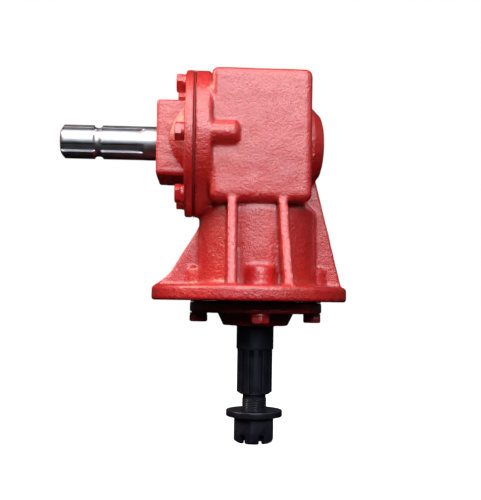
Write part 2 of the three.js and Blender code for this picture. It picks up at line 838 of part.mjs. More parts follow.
// Section of a straight-sided spline. Each tooth stands on a land of the minor radius.
function splineSection(count, minor, major, tooth) {
  const half = tooth / 2;
  const low = Math.asin(half / minor);
  const high = Math.asin(half / major);
  const pitch = (2 * Math.PI) / count;
  const points = [];
  for (let i = 0; i < count; i += 1) {
    const middle = i * pitch;
    const stations = [
      [minor, -low],
      [major, -high],
      [major, high],
      [minor, low],
      [minor, pitch / 2],
    ];
    for (const [radius, angle] of stations) {
      points.push([radius * Math.cos(middle + angle), radius * Math.sin(middle + angle)]);
    }
  }
  return outline(points);
}

// ---- Input shaft ----

const SLEEVE_END_X = REAR_BEARING_X - REAR_BEARING.coneBack - GAP;
const RING_GROOVE = { from: -71.8, to: -69.6, r: 18.4 };

// The groove that the yoke's lock sits in, as points along the shaft.
function lockGroove() {
  const middle = INPUT_TIP_X + PTO_GROOVE_FROM_TIP;
  const half = 4.4;
  return Array.from({ length: 5 }, (_, i) => {
    const t = (i / 2 - 1) * half;
    const depth = (PTO_MAJOR_R - PTO_MINOR_R + 0.1) * Math.sqrt(1 - (t / half) ** 2);
    return [PTO_MAJOR_R + 0.4 - depth, middle + t];
  });
}

function buildInputShaft() {
  const reach = PTO_MAJOR_R + 0.4;
  const envelope = solid(turned([
    [0, INPUT_TIP_X],
    [PTO_MINOR_R - 1, INPUT_TIP_X],
    [reach, INPUT_TIP_X + 6],
    ...lockGroove(),
    [reach, PTO_SPLINE_END_X],
    [0, PTO_SPLINE_END_X],
  ]));
  const section = splineSection(6, PTO_MINOR_R, PTO_MAJOR_R, PTO_TOOTH);
  const quarter = new THREE.Matrix4().makeRotationZ(Math.PI / 2);
  const splines = solid(extruded(section, INPUT_TIP_X - 1, PTO_SPLINE_END_X + 1), quarter);
  const body = solid(turned([
    [0, PTO_SPLINE_END_X - 9],
    [PTO_MINOR_R - 0.2, PTO_SPLINE_END_X - 9],
    [PTO_MAJOR_R - 0.9, PTO_SPLINE_END_X - 3],
    [PTO_MAJOR_R - 0.1, PTO_SPLINE_END_X],
    [PTO_MAJOR_R, PAD_FACE_X - 1],
    [INPUT_JOURNAL_R, PAD_FACE_X + 1.5],
    [INPUT_JOURNAL_R, -27.5],
    [INPUT_MIDDLE_R, -27.5],
    [INPUT_MIDDLE_R, SLEEVE_END_X],
    [REAR_JOURNAL_R, SLEEVE_END_X],
    [REAR_JOURNAL_R, INPUT_SHAFT_END_X - 1],
    [REAR_JOURNAL_R - 1, INPUT_SHAFT_END_X],
    [0, INPUT_SHAFT_END_X],
  ]));
  const keySeat = block(
    -INPUT_JOURNAL_R - 10,
    -GEAR_KEY.low + GAP,
    -GEAR_KEY.wide / 2 - GAP,
    GEAR_KEY.wide / 2 + GAP,
    GEAR_KEY.from - GAP,
    GEAR_KEY.to + GAP,
  );
  const grooveCut = tube(RING_GROOVE.r, INPUT_JOURNAL_R + 3, RING_GROOVE.from, RING_GROOVE.to);
  const shaft = cut(splines.intersect(envelope).add(body), [solid(keySeat), solid(grooveCut)]);
  piece(inputAxis, 'input_shaft', shaft, 'polished');
}

function buildInputShaftFittings() {
  const half = GEAR_KEY.wide / 2;
  const key = block(-GEAR_KEY.high, -GEAR_KEY.low, -half, half, GEAR_KEY.from, GEAR_KEY.to);
  piece(inputAxis, 'input_gear_key', solid(key), 'gear');

  const open = 0.35;
  const shape = new THREE.Shape();
  shape.absarc(0, 0, 23.4, open, 2 * Math.PI - open, false);
  shape.absarc(0, 0, RING_GROOVE.r + GAP, 2 * Math.PI - open, open, true);
  const ring = extruded(shape, RING_GROOVE.from + 0.2, RING_GROOVE.to - GAP, 0, 16);
  piece(inputAxis, 'input_snap_ring', ring, 'black');

  const sleeve = turned([
    [INPUT_MIDDLE_R + GAP, -27.2],
    [25, -27.2],
    [25, -23.5],
    [21.5, -22],
    [21.5, SLEEVE_END_X],
    [INPUT_MIDDLE_R + GAP, SLEEVE_END_X],
  ]);
  piece(inputAxis, 'input_spacer_sleeve', sleeve, 'gear');
}

// ---- Bevel gears ----

const GEAR_PITCH_R = (MODULE * GEAR_TEETH) / 2;
const PINION_PITCH_R = (MODULE * PINION_TEETH) / 2;
const CONE_DISTANCE = Math.hypot(GEAR_PITCH_R, PINION_PITCH_R);

// Sizes of one gear. The tooth form is that of the spur gear that rolls on the back cone.
function bevelSizes(pitchR) {
  const cone = Math.asin(pitchR / CONE_DISTANCE);
  const spurPitch = pitchR / Math.cos(cone);
  const height = (spurR) => -CONE_DISTANCE / Math.cos(cone) + spurR * Math.sin(cone);
  const rootSpur = spurPitch - MODULE * (1 + ROOT_CLEARANCE);
  return {
    cone,
    spurPitch,
    height,
    rootSpur,
    rootR: rootSpur * Math.cos(cone),
    rootHeight: height(rootSpur),
  };
}

// Height of the pinion's inner face, which the lock washer rests on.
const PINION_FACE_Z = INPUT_HEIGHT + bevelSizes(PINION_PITCH_R).rootHeight * TOE_SCALE;

// Half of a tooth's angle on the back cone's spur gear, at a radius of that gear.
function halfToothAngle(spurR, { spurPitch }) {
  const base = spurPitch * Math.cos(PRESSURE_ANGLE);
  const involute = (angle) => Math.tan(angle) - angle;
  const atPitch = (Math.PI * MODULE) / 4 / spurPitch - FLANK_RELIEF / spurPitch;
  const here = Math.acos(Math.min(1, base / Math.max(spurR, base)));
  return atPitch + involute(PRESSURE_ANGLE) - involute(here);
}

// Outline of all teeth at their outer ends, seen along the axis.
function toothOutline(teeth, sizes) {
  const flankSteps = 2;
  const base = sizes.spurPitch * Math.cos(PRESSURE_ANGLE);
  const tip = sizes.spurPitch + MODULE * (1 - FLANK_RELIEF / 2);
  const start = Math.max(base, sizes.rootSpur + 0.4);
  const radii = [sizes.rootSpur];
  for (let i = 0; i <= flankSteps; i += 1) {
    radii.push(start + ((tip - start) * i) / flankSteps);
  }
  const squeeze = Math.cos(sizes.cone);
  const flank = radii.map((r) => [r * squeeze, halfToothAngle(r, sizes) / squeeze]);
  const points = [];
  for (const middle of spaced(teeth)) {
    for (const [r, half] of flank) {
      points.push([r * Math.cos(middle - half), r * Math.sin(middle - half)]);
    }
    for (const [r, half] of [...flank].reverse()) {
      points.push([r * Math.cos(middle + half), r * Math.sin(middle + half)]);
    }
  }
  return outline(points);
}

// Teeth that taper towards the apex at the origin. The gear lies below the apex, about +Z.
function bevelTeeth(teeth, sizes) {
  const geometry = extruded(toothOutline(teeth, sizes), 0, 1);
  const { position } = geometry.attributes;
  for (let i = 0; i < position.count; i += 1) {
    const x = position.getX(i);
    const y = position.getY(i);
    const scale = 1 - position.getZ(i) * (1 - TOE_SCALE);
    const height = sizes.height(Math.hypot(x, y) / Math.cos(sizes.cone));
    position.setXYZ(i, x * scale, y * scale, height * scale);
  }
  return solid(geometry);
}

function bevelGear(teeth, pitchR, bore, back, hubR, rimThick) {
  const sizes = bevelSizes(pitchR);
  const inset = 0.5;
  const rim = sizes.rootHeight - rimThick;
  const core = turned([
    [0, back],
    [hubR, back],
    [hubR, rim],
    [sizes.rootR - 1, rim],
    [sizes.rootR - inset, sizes.rootHeight - 0.2],
    [(sizes.rootR - inset) * TOE_SCALE, sizes.rootHeight * TOE_SCALE],
    [0, sizes.rootHeight * TOE_SCALE],
  ]);
  return cut(joined([bevelTeeth(teeth, sizes), solid(core)]), [solid(rod(bore, back - 1, 0))]);
}

function buildGears() {
  const gearBore = INPUT_JOURNAL_R + GAP;
  const gear = bevelGear(GEAR_TEETH, GEAR_PITCH_R, gearBore, GEAR_BACK_X, 31, 4);
  const gearKeyHalf = GEAR_KEY.wide / 2 + GAP;
  const gearKeyway = block(-GEAR_KEY.high - GAP, 0, -gearKeyHalf, gearKeyHalf, GEAR_BACK_X - 1, -20);
  piece(inputAxis, 'input_bevel_gear', cut(gear, [solid(gearKeyway)]), 'gear');

  const pinionBack = PINION_BACK_Z - INPUT_HEIGHT;
  const pinionBore = PINION_SEAT_R + GAP;
  const pinion = bevelGear(PINION_TEETH, PINION_PITCH_R, pinionBore, pinionBack, 23.5, 4);
  const keyHalf = PINION_KEY.wide / 2 + GAP;
  const pinionKeyway = block(0, PINION_KEY.high + GAP, -keyHalf, keyHalf, pinionBack - 1, -20);
  const mesh = piece(gearbox, 'output_bevel_pinion', cut(pinion, [solid(pinionKeyway)]), 'gear');
  mesh.position.z = INPUT_HEIGHT;
}

// ---- Output shaft ----

function buildOutputShaft() {
  const envelope = solid(turned([
    [0, OUTPUT_SPLINE_BOTTOM],
    [THREAD_R + 1.8, OUTPUT_SPLINE_BOTTOM],
    [OUTPUT_MAJOR_R + 0.3, OUTPUT_SPLINE_BOTTOM + 2.6],
    [OUTPUT_MAJOR_R + 0.3, OUTPUT_SPLINE_TOP + 2],
    [0, OUTPUT_SPLINE_TOP + 2],
  ]));
  const section = splineSection(12, OUTPUT_MINOR_R, OUTPUT_MAJOR_R, OUTPUT_TOOTH);
  const splines = solid(extruded(section, OUTPUT_SPLINE_BOTTOM - 1, OUTPUT_SPLINE_TOP + 3));
  const body = solid(turned([
    [0, THREAD_END],
    [THREAD_R - 2, THREAD_END],
    [THREAD_R, THREAD_END + 2],
    [THREAD_R, OUTPUT_SPLINE_BOTTOM - 4],
    [THREAD_R - 0.6, OUTPUT_SPLINE_BOTTOM - 3],
    [THREAD_R - 0.6, OUTPUT_SPLINE_BOTTOM + 1],
    [OUTPUT_MINOR_R - 0.2, OUTPUT_SPLINE_BOTTOM + 3],
    [OUTPUT_MINOR_R - 0.2, OUTPUT_SPLINE_TOP - 2],
    [OUTPUT_LAND_R, OUTPUT_SPLINE_TOP + 1],
    [OUTPUT_LAND_R, OUTPUT_HUB_BOTTOM - 1.5],
    [OUTPUT_JOURNAL_R, OUTPUT_HUB_BOTTOM],
    [OUTPUT_JOURNAL_R, 5],
    [22, 5],
    [22, LOWER_BEARING_Z - MAIN_BEARING.coneFront - GAP],
    [OUTPUT_JOURNAL_R, LOWER_BEARING_Z - MAIN_BEARING.coneFront - GAP],
    [OUTPUT_JOURNAL_R, PINION_BACK_Z - 0.5],
    [PINION_SEAT_R, PINION_BACK_Z - 0.5],
    [PINION_SEAT_R, PINION_FACE_Z - 0.5],
    [PINION_THREAD_R, PINION_FACE_Z - 0.5],
    [PINION_THREAD_R, 133.4],
    [PINION_THREAD_R - 1.2, 134.6],
    [0, 134.6],
  ]));
  const keySeat = block(
    PINION_KEY.low - GAP,
    PINION_SEAT_R + 4,
    -PINION_KEY.wide / 2 - GAP,
    PINION_KEY.wide / 2 + GAP,
    PINION_KEY.from - GAP,
    PINION_KEY.to + GAP,
  );
  const pinHole = new THREE.Matrix4().makeRotationZ(degToRad(NUT_TURN + 30))
    .multiply(moved(0, 0, NUT_BOTTOM + NUT_SLOT_DEEP / 2))
    .multiply(new THREE.Matrix4().makeRotationY(Math.PI / 2));
  const cuts = [solid(keySeat), solid(rod(2.4, -20, 20, THREAD_ROUND), pinHole)];
  piece(gearbox, 'output_shaft', cut(splines.intersect(envelope).add(body), cuts), 'black');
}

// Round nut with four spanner slots.
function pinionNut() {
  const slotHalf = 2.5;
  const slotDeep = 2.4;
  const from = PINION_FACE_Z + PINION_WASHER_THICK + 2 * GAP;
  const to = from + PINION_NUT_HIGH;
  const ring = solid(tube(PINION_THREAD_R + GAP, PINION_NUT_R, from, to, RIM_ROUND));
  const core = solid(rod(PINION_NUT_R - slotDeep, from - 2, to + 2, RIM_ROUND));
  const reach = PINION_NUT_R + 1;
  const slots = [
    block(-reach, reach, -slotHalf, slotHalf, from - 1, to + 1),
    block(-slotHalf, slotHalf, -reach, reach, from - 1, to + 1),
  ];
  return cut(ring, slots.map((slot) => solid(slot).subtract(core)));
}

function buildOutputShaftFittings() {
  const half = PINION_KEY.wide / 2;
  const key = block(PINION_KEY.low, PINION_KEY.high, -half, half, PINION_KEY.from, PINION_KEY.to);
  piece(gearbox, 'output_pinion_key', solid(key), 'gear');

  const washer = tube(
    PINION_THREAD_R + GAP,
    PINION_NUT_R - 0.5,
    PINION_FACE_Z + GAP,
    PINION_FACE_Z + GAP + PINION_WASHER_THICK,
    RIM_ROUND,
  );
  piece(gearbox, 'output_pinion_lock_washer', washer, 'gear');
  piece(gearbox, 'output_pinion_nut', pinionNut(), 'gear');

  const spacerFrom = LOWER_BEARING_Z + MAIN_BEARING.coneBack + GAP;
  const spacerTo = UPPER_BEARING_Z - MAIN_BEARING.coneBack - GAP;
  const spacer = tube(OUTPUT_JOURNAL_R + GAP, 24, spacerFrom, spacerTo);
  piece(gearbox, 'output_spacer_tube', spacer, 'gear');
}

function buildOutputEnd() {
  const edge = 1;
  const washer = turned([
    [THREAD_R + GAP, NUT_TOP + GAP],
    [OUTPUT_WASHER_R - edge, NUT_TOP + GAP],
    [OUTPUT_WASHER_R, NUT_TOP + GAP + edge],
    [OUTPUT_WASHER_R, OUTPUT_WASHER_TOP - edge],
    [OUTPUT_WASHER_R - edge, OUTPUT_WASHER_TOP],
    [THREAD_R + GAP, OUTPUT_WASHER_TOP],
  ]);
  piece(gearbox, 'output_washer', washer, 'black');

  const corner = NUT_ACROSS / 2 / Math.cos(Math.PI / 6);
  const chamferLow = 2.8;
  const chamferHigh = 1.2;
  const start = new THREE.Matrix4().makeRotationZ(degToRad(NUT_TURN + 90));
  const hexagon = solid(rod(corner, NUT_BOTTOM, NUT_TOP, 6), start);
  const barrel = solid(turned([
    [0, NUT_BOTTOM - 1],
    [corner - 1 - 2 * chamferLow, NUT_BOTTOM - 1],
    [corner + 0.6, NUT_BOTTOM + chamferLow + 0.8],
    [corner + 0.6, NUT_TOP - 0.4],
    [corner - chamferHigh, NUT_TOP + 0.4],
    [0, NUT_TOP + 0.4],
  ]));
  const slots = spaced(6, NUT_TURN + 30).slice(0, 3).map((angle) => {
    const half = NUT_SLOT_WIDE / 2;
    const slot = block(-30, 30, -half, half, NUT_BOTTOM - 1, NUT_BOTTOM + NUT_SLOT_DEEP);
    return solid(slot, new THREE.Matrix4().makeRotationZ(angle));
  });
  const bore = solid(rod(THREAD_R + GAP, NUT_BOTTOM - 1, NUT_TOP + 1));
  piece(gearbox, 'castle_nut', cut(hexagon.intersect(barrel), [bore, ...slots]), 'black');
}

buildHousing();
buildRearPlug();
buildInputCap();
buildGaskets();
buildOutputCap();
buildSeals();
buildBolts();
buildBearings();
buildInputShaft();
buildInputShaftFittings();
buildOutputShaft();
buildGears();
buildOutputShaftFittings();
buildOutputEnd();

export default gearbox;
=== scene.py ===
"""Right angle bevel gearbox: red sand-cast housing, bright splined input stub, black splined output shaft.

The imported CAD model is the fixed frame. Lengths here are metres, in the frame's own axes: +Z up, the input
shaft along -X, the output shaft down along -Z. Hidden CAD nodes keep their shape and get a finish; the
castings, shafts and fasteners that show are finer pieces that stand for their CAD nodes.
"""

import json
import math

import bmesh
import bpy
import numpy as np
from mathutils import Matrix, Vector, noise


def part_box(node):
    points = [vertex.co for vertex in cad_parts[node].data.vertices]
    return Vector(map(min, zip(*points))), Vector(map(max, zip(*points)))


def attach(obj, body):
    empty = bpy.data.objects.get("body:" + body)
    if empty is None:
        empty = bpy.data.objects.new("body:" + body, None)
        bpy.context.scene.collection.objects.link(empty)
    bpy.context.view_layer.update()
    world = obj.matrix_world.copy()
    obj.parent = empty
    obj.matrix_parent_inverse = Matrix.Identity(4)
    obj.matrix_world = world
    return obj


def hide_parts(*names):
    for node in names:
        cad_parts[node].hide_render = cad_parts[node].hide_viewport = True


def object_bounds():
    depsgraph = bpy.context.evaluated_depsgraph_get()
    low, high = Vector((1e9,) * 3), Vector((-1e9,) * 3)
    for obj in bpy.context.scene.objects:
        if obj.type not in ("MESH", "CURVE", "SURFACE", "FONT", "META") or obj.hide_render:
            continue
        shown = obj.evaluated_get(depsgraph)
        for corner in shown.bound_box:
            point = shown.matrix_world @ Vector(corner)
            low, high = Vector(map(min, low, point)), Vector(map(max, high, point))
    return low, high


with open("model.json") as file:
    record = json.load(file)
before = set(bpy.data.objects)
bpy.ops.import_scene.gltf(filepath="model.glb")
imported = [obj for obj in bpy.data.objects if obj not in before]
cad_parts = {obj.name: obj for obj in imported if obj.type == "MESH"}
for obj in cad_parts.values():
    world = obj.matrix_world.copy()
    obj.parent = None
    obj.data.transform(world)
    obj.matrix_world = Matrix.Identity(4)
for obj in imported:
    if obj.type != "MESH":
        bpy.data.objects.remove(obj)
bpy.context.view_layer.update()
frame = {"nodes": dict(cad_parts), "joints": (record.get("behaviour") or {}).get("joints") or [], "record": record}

MM = 0.001
TAU = 2 * math.pi
NODES = frame["nodes"]
JOINTS = {joint["name"]: joint for joint in frame["joints"]}
MOUNTS = {mount["name"]: mount for mount in frame["record"]["mounts"]}

HOUSING = "housing"
INPUT_BODY = "input_shaft_group"
OUTPUT_BODY = "output_shaft_group"

X_AXIS, Y_AXIS, Z_AXIS = 0, 1, 2

INPUT_HEIGHT = JOINTS["input_spin"]["pos_m"][2]
INPUT_TIP_X = MOUNTS["input_shaft_end"]["pos_m"][0]
PAD_FACE_X = MOUNTS["shield_pad_face"]["pos_m"][0]
SHAFT_END_Z = MOUNTS["output_shaft_end"]["pos_m"][2]

# The shafts' axes as points: (y, z) for the input, (x, y) for the output
INPUT_CENTRE = (0, INPUT_HEIGHT)
OUTPUT_CENTRE = (0, 0)

# The gap that the CAD leaves at each side of a washer or gasket, and how much of it the finer one fills
CAD_GAP = 0.3 * MM
FILL = 0.28 * MM

# How many facets the CAD gives a large round and a small one
LARGE_FACETS = 40
SMALL_FACETS = 28

# The standard power take-off stub, 1-3/8 inch with six splines
PTO_MAJOR_R = 17.45 * MM
PTO_MINOR_R = 14.8 * MM
PTO_TOOTH = 8.7 * MM
PTO_SPLINES = 6
PTO_GROOVE_X = INPUT_TIP_X + 38 * MM
PTO_GROOVE_HALF = 4.4 * MM
PTO_RUN_OUT_X = -116 * MM
PTO_RUN_OUT_LONG = 12 * MM
INPUT_JOURNAL_R = 20 * MM
INPUT_SLEEVE_R = 18 * MM
INPUT_REAR_R = 17.2 * MM
SNAP_GROOVE_R = 18.4 * MM

# Output shaft: land, twelve splines, one inch thread
OUTPUT_LAND_R = 19 * MM
OUTPUT_MAJOR_R = 18 * MM
OUTPUT_MINOR_R = 15.6 * MM
OUTPUT_TOOTH = 4.6 * MM
OUTPUT_SPLINES = 12
SPLINE_TOP_Z = -49 * MM
SPLINE_BOTTOM_Z = -94 * MM
SPLINE_RUN_OUT = 8 * MM
THREAD_R = 12.7 * MM
THREAD_PITCH = 25.4 * MM / 14
THREAD_DEEP = 0.9 * MM
THREAD_TOP_Z = SPLINE_BOTTOM_Z - 4 * MM
OUTPUT_JOURNAL_R = 20 * MM
OUTPUT_COLLAR_R = 22 * MM
PINION_SEAT_R = 15 * MM
PINION_THREAD_R = 12.5 * MM
KEY_GAP = 0.3 * MM

# The caps' bolts and their spring washers
BOLT_ACROSS = 16.6 * MM
BOLT_HEAD_HIGH = 6.4 * MM
BOLT_SHANK_R = 4.5 * MM
BOLT_POINT_R = 3.7 * MM
BOLT_TURN = math.radians(23)
SPRING_WASHER_HIGH = 3.0 * MM
SPRING_WASHER_R = (5.3 * MM, 8.9 * MM)

# Filler, level and drain plugs
PLUG_BODY_HIGH = 12.1 * MM
PLUG_THREAD_R = 8 * MM
PLUG_COLLAR_R = 12.4 * MM
PLUG_COLLAR_HIGH = 3 * MM
PLUG_HEX_ACROSS = 17.3 * MM

# Castle nut
NUT_ACROSS = 38.1 * MM
NUT_TURN = math.radians(20)
NUT_SLOT_WIDE = 5.5 * MM
NUT_SLOT_DEEP = 9 * MM


# ---- Mesh helpers ----

def link(name, mesh):
    """A new object with this mesh, in the scene."""
    piece = bpy.data.objects.new(name, mesh)
    bpy.context.scene.collection.objects.link(piece)
    return piece


def mesh_of(name, vertices, faces):
    """A mesh from points and faces."""
    mesh = bpy.data.meshes.new(name)
    mesh.from_pydata([tuple(v) for v in vertices], [], faces)
    mesh.update()
    return mesh


def read_points(mesh):
    """The mesh's points as an array with a row for each."""
    points = np.empty(len(mesh.vertices) * 3)
    mesh.vertices.foreach_get("co", points)
    return points.reshape(-1, 3)


def write_points(mesh, points):
    """Puts an array of points back into the mesh."""
    mesh.vertices.foreach_set("co", points.ravel())
    mesh.update()


def smooth(piece, angle):
    """Shades smooth, with edges sharper than the angle kept."""
    piece.data.polygons.foreach_set("use_smooth", [True] * len(piece.data.polygons))
    piece.data.set_sharp_from_angle(angle=math.radians(angle))
    return piece


def settle(piece):
    """Puts the result of the piece's modifiers into its mesh."""
    graph = bpy.context.evaluated_depsgraph_get()
    result = bpy.data.meshes.new_from_object(piece.evaluated_get(graph))
    piece.modifiers.clear()
    piece.data = result
    return piece


def stand_for(piece, nodes, body, material):
    """The piece takes these CAD nodes' place on a body, with a finish."""
    piece.data.materials.clear()
    piece.data.materials.append(material)
    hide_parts(*nodes)
    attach(piece, body)
    return piece


def on_input_axis():
    """Carries shapes drawn about +Z, with z standing for world X, to the input axis."""
    return Matrix.Translation((0, 0, INPUT_HEIGHT)) @ Matrix.Rotation(math.pi / 2, 4, "Y")


def ring(angles, radii, z, turn=0.0):
    """Points about +Z at height z, one for each angle and radius. turn moves them round."""
    return [(r * math.cos(a + turn), r * math.sin(a + turn), z) for a, r in zip(angles, radii)]


def circle(angles, radius, z, turn=0.0):
    """Points at one radius about +Z, at height z."""
    return ring(angles, [radius] * len(angles), z, turn)


def loft(name, rings, place=None, closed_ends=True):
    """A skin over rings of equal length, each a list of points. The ends are closed by a fan."""
    count = len(rings[0])
    vertices = [Vector(point) for points in rings for point in points]
    faces = []
    for i in range(len(rings) - 1):
        for j in range(count):
            k = (j + 1) % count
            faces.append((i * count + j, i * count + k, (i + 1) * count + k, (i + 1) * count + j))
    if closed_ends:
        for row, flip in ((0, True), (len(rings) - 1, False)):
            hub = len(vertices)
            edge = vertices[row * count:(row + 1) * count]
            vertices.append(sum(edge, Vector()) / count)
            for j in range(count):
                a, b = row * count + j, row * count + (j + 1) % count
                faces.append((hub, b, a) if flip else (hub, a, b))
    if place is not None:
        vertices = [place @ v for v in vertices]
    return link(name, mesh_of(name, vertices, faces))


def turned(name, profile, segments=96, place=None):
    """A profile of (radius, height) pairs turned about +Z: solid if it ends on the axis, else a ring."""
    ring_shape = all(r > 0 for r, _ in profile)
    body = profile if ring_shape else profile[1:-1]
    angles = [TAU * j / segments for j in range(segments)]
    rings = [circle(angles, r, z) for r, z in body]
    if ring_shape:
        rings.append(rings[0])
    return weld(loft(name, rings, place, closed_ends=not ring_shape))


def weld(piece, distance=1e-6):
    """Merges points that coincide, and turns all faces outwards."""
    shape = bmesh.new()
    shape.from_mesh(piece.data)
    bmesh.ops.remove_doubles(shape, verts=shape.verts, dist=distance)
    bmesh.ops.recalc_face_normals(shape, faces=shape.faces)
    shape.to_mesh(piece.data)
    shape.free()
    return piece


def rounded(points, radius, steps=3):
    """The profile with its inner corners rounded by arcs of about this radius."""
    result = [points[0]]
    for before, here, after in zip(points, points[1:], points[2:]):
        p, a, b = Vector(here), Vector(before), Vector(after)
        reach = min(radius, (a - p).length * 0.45, (b - p).length * 0.45)
        start = p + (a - p).normalized() * reach
        end = p + (b - p).normalized() * reach
        for i in range(steps + 1):
            t = i / steps
            q = start * (1 - t) ** 2 + p * 2 * t * (1 - t) + end * t ** 2
            result.append((q.x, q.y))
    result.append(points[-1])
    return result


def bevelled(piece, width, angle=30):
    """Rounds the edges that are sharper than the angle."""
    modifier = piece.modifiers.new("edges", "BEVEL")
    modifier.width = width
    modifier.segments = 2
    modifier.limit_method = "ANGLE"
    modifier.angle_limit = math.radians(angle)
    return settle(piece)


def boolean(piece, tool, operation):
    """Joins, cuts or intersects the piece with a tool, which is used up."""
    modifier = piece.modifiers.new("boolean", "BOOLEAN")
    modifier.operation = operation
    modifier.object = tool
    modifier.solver = "EXACT"
    settle(piece)
    bpy.data.objects.remove(tool)
    return piece


def hexagon(name, across, low, high, place=None):
    """A hexagonal prism about +Z with two corners on the Y axis."""
    corner = across / 2 / math.cos(math.pi / 6)
    angles = [math.pi / 6 + TAU * i / 6 for i in range(6)]
    return weld(loft(name, [circle(angles, corner, z) for z in (low, high)], place))


def bar(name, lo, hi):
    """A box between two corners."""
    plan = [(lo[0], lo[1]), (hi[0], lo[1]), (hi[0], hi[1]), (lo[0], hi[1])]
    rings = [[(x, y, z) for x, y in plan] for z in (lo[2], hi[2])]
    return weld(loft(name, rings))


# ---- Node helpers for materials ----

class Nodes:
    """A material's node tree with short ways to add nodes and join them."""

    def __init__(self, name):
        self.material = bpy.data.materials.new(name)
        self.material.use_nodes = True
        self.tree = self.material.node_tree
        self.shader = self.tree.nodes["Principled BSDF"]
        place = self.tree.nodes.new("ShaderNodeTexCoord")
        self.place = place.outputs["Object"]

    def set(self, **values):
        """Values of the shader's own sockets, by name with _ for a space."""
        for key, value in values.items():
            self.shader.inputs[key.replace("_", " ")].default_value = value

    def join(self, output, node_input):
        """A link between two sockets."""
        self.tree.links.new(output, node_input)

    def stretched(self, scale):
        """Object coordinates scaled by (x, y, z), for streaks along an axis."""
        mapping = self.tree.nodes.new("ShaderNodeMapping")
        mapping.inputs["Scale"].default_value = scale
        self.join(self.place, mapping.inputs["Vector"])
        return mapping.outputs["Vector"]

    def noise(self, scale, detail=3, roughness=0.5, place=None, distortion=0):
        """Cloudy noise, from 0 to 1 with a mean of about 0.5."""
        node = self.tree.nodes.new("ShaderNodeTexNoise")
        node.inputs["Scale"].default_value = scale
        node.inputs["Detail"].default_value = detail
        node.inputs["Roughness"].default_value = roughness
        node.inputs["Distortion"].default_value = distortion
        self.join(place or self.place, node.inputs["Vector"])
        return node.outputs["Fac"]

    def cells(self, scale):
        """Distance to the nearest of scattered points."""
        node = self.tree.nodes.new("ShaderNodeTexVoronoi")
        node.inputs["Scale"].default_value = scale
        self.join(self.place, node.inputs["Vector"])
        return node.outputs["Distance"]

    def span(self, value, low, high, to_low=0.0, to_high=1.0):
        """The value's stretch from low to high, carried smoothly to another range."""
        node = self.tree.nodes.new("ShaderNodeMapRange")
        node.interpolation_type = "SMOOTHSTEP"
        for key, number in zip(("From Min", "From Max", "To Min", "To Max"), (low, high, to_low, to_high)):
            node.inputs[key].default_value = number
        self.join(value, node.inputs["Value"])
        return node.outputs["Result"]

    def maths(self, operation, a, b):
        """A sum or product. Each of a and b is a number or an output."""
        node = self.tree.nodes.new("ShaderNodeMath")
        node.operation = operation
        for socket, value in zip(node.inputs, (a, b)):
            if isinstance(value, (int, float)):
                socket.default_value = value
            else:
                self.join(value, socket)
        return node.outputs["Value"]

    def mix(self, factor, a, b):
        """A colour between a and b. Each is a colour or an output. Sockets 6, 7 and 2 are the colour ones."""
        node = self.tree.nodes.new("ShaderNodeMix")
        node.data_type = "RGBA"
        self.join(factor, node.inputs["Factor"])
        for socket, value in ((node.inputs[6], a), (node.inputs[7], b)):
            if isinstance(value, tuple):
                socket.default_value = (*value, 1)
            else:
                self.join(value, socket)
        return node.outputs[2]

    def pointiness(self):
        """Below 0.5 in hollows and above it on edges."""
        node = self.tree.nodes.new("ShaderNodeNewGeometry")
        return node.outputs["Pointiness"]

    def bump(self, height, distance, strength, under=None):
        """A normal raised by a height, on top of another bump if there is one under it."""
        node = self.tree.nodes.new("ShaderNodeBump")
        node.inputs["Strength"].default_value = strength
        node.inputs["Distance"].default_value = distance
        self.join(height, node.inputs["Height"])
        if under is not None:
            self.join(under, node.inputs["Normal"])
        return node.outputs["Normal"]

    def finish(self, colour, roughness=None, normal=None):
        """Joins what there is to the shader, and gives the material."""
        for value, key in ((colour, "Base Color"), (roughness, "Roughness"), (normal, "Normal")):
            if value is not None:
                self.join(value, self.shader.inputs[key])
        return self.material


# ---- Materials ----

def red_paint(name, grain=1.0):
    """Red enamel over sand-cast iron, with painted shade darkening its hollows and creases. grain scales the
    casting's roughness.
    """
    deep, bright, warm = (0.48, 0.0024, 0.0070), (0.60, 0.0060, 0.0095), (0.66, 0.026, 0.008)
    # The first of these is a painted shade colour for hollows, the second the colour of the casting's pits.
    painted_shade_red, pit_red = (0.085, 0.0015, 0.004), (0.12, 0.002, 0.005)
    nodes = Nodes(name)
    nodes.set(Coat_Weight=0.8, Coat_Roughness=0.30, Coat_IOR=1.52, Specular_IOR_Level=0.9)
    tone = nodes.noise(38, 4, 0.6)
    patches = nodes.span(nodes.noise(14, 2), 0.35, 0.7)
    colour = nodes.mix(tone, deep, bright)
    colour = nodes.mix(nodes.maths("MULTIPLY", patches, 0.4), colour, warm)
    # Painted shade: hollows and creases, where ribs, bosses and caps meet the walls, are darkened towards a deep
    # red.
    painted_crevice_shade = nodes.span(nodes.pointiness(), 0.455, 0.495, 0.35, 0.0)
    colour = nodes.mix(painted_crevice_shade, colour, painted_shade_red)
    pits = nodes.span(nodes.cells(170), 0.0, 0.17, 1.0, 0.0)
    sparse = nodes.span(nodes.noise(60, 2), 0.50, 0.60)
    pits = nodes.maths("MULTIPLY", pits, sparse)
    colour = nodes.mix(nodes.maths("MULTIPLY", pits, 0.6), colour, pit_red)
    roughness = nodes.span(nodes.noise(120, 3), 0.3, 0.7, 0.31, 0.42)
    lumps = nodes.noise(300, 3, 0.6, distortion=0.3)
    sand = nodes.noise(620, 2, 0.6)
    coarse = nodes.bump(lumps, 1.3 * MM * grain, 0.8)
    fine = nodes.bump(sand, 0.7 * MM * grain, 0.8, under=coarse)
    pitted = nodes.bump(nodes.maths("MULTIPLY", pits, -1.0), 0.5 * MM * grain, 0.8, under=fine)
    return nodes.finish(colour, roughness, pitted)


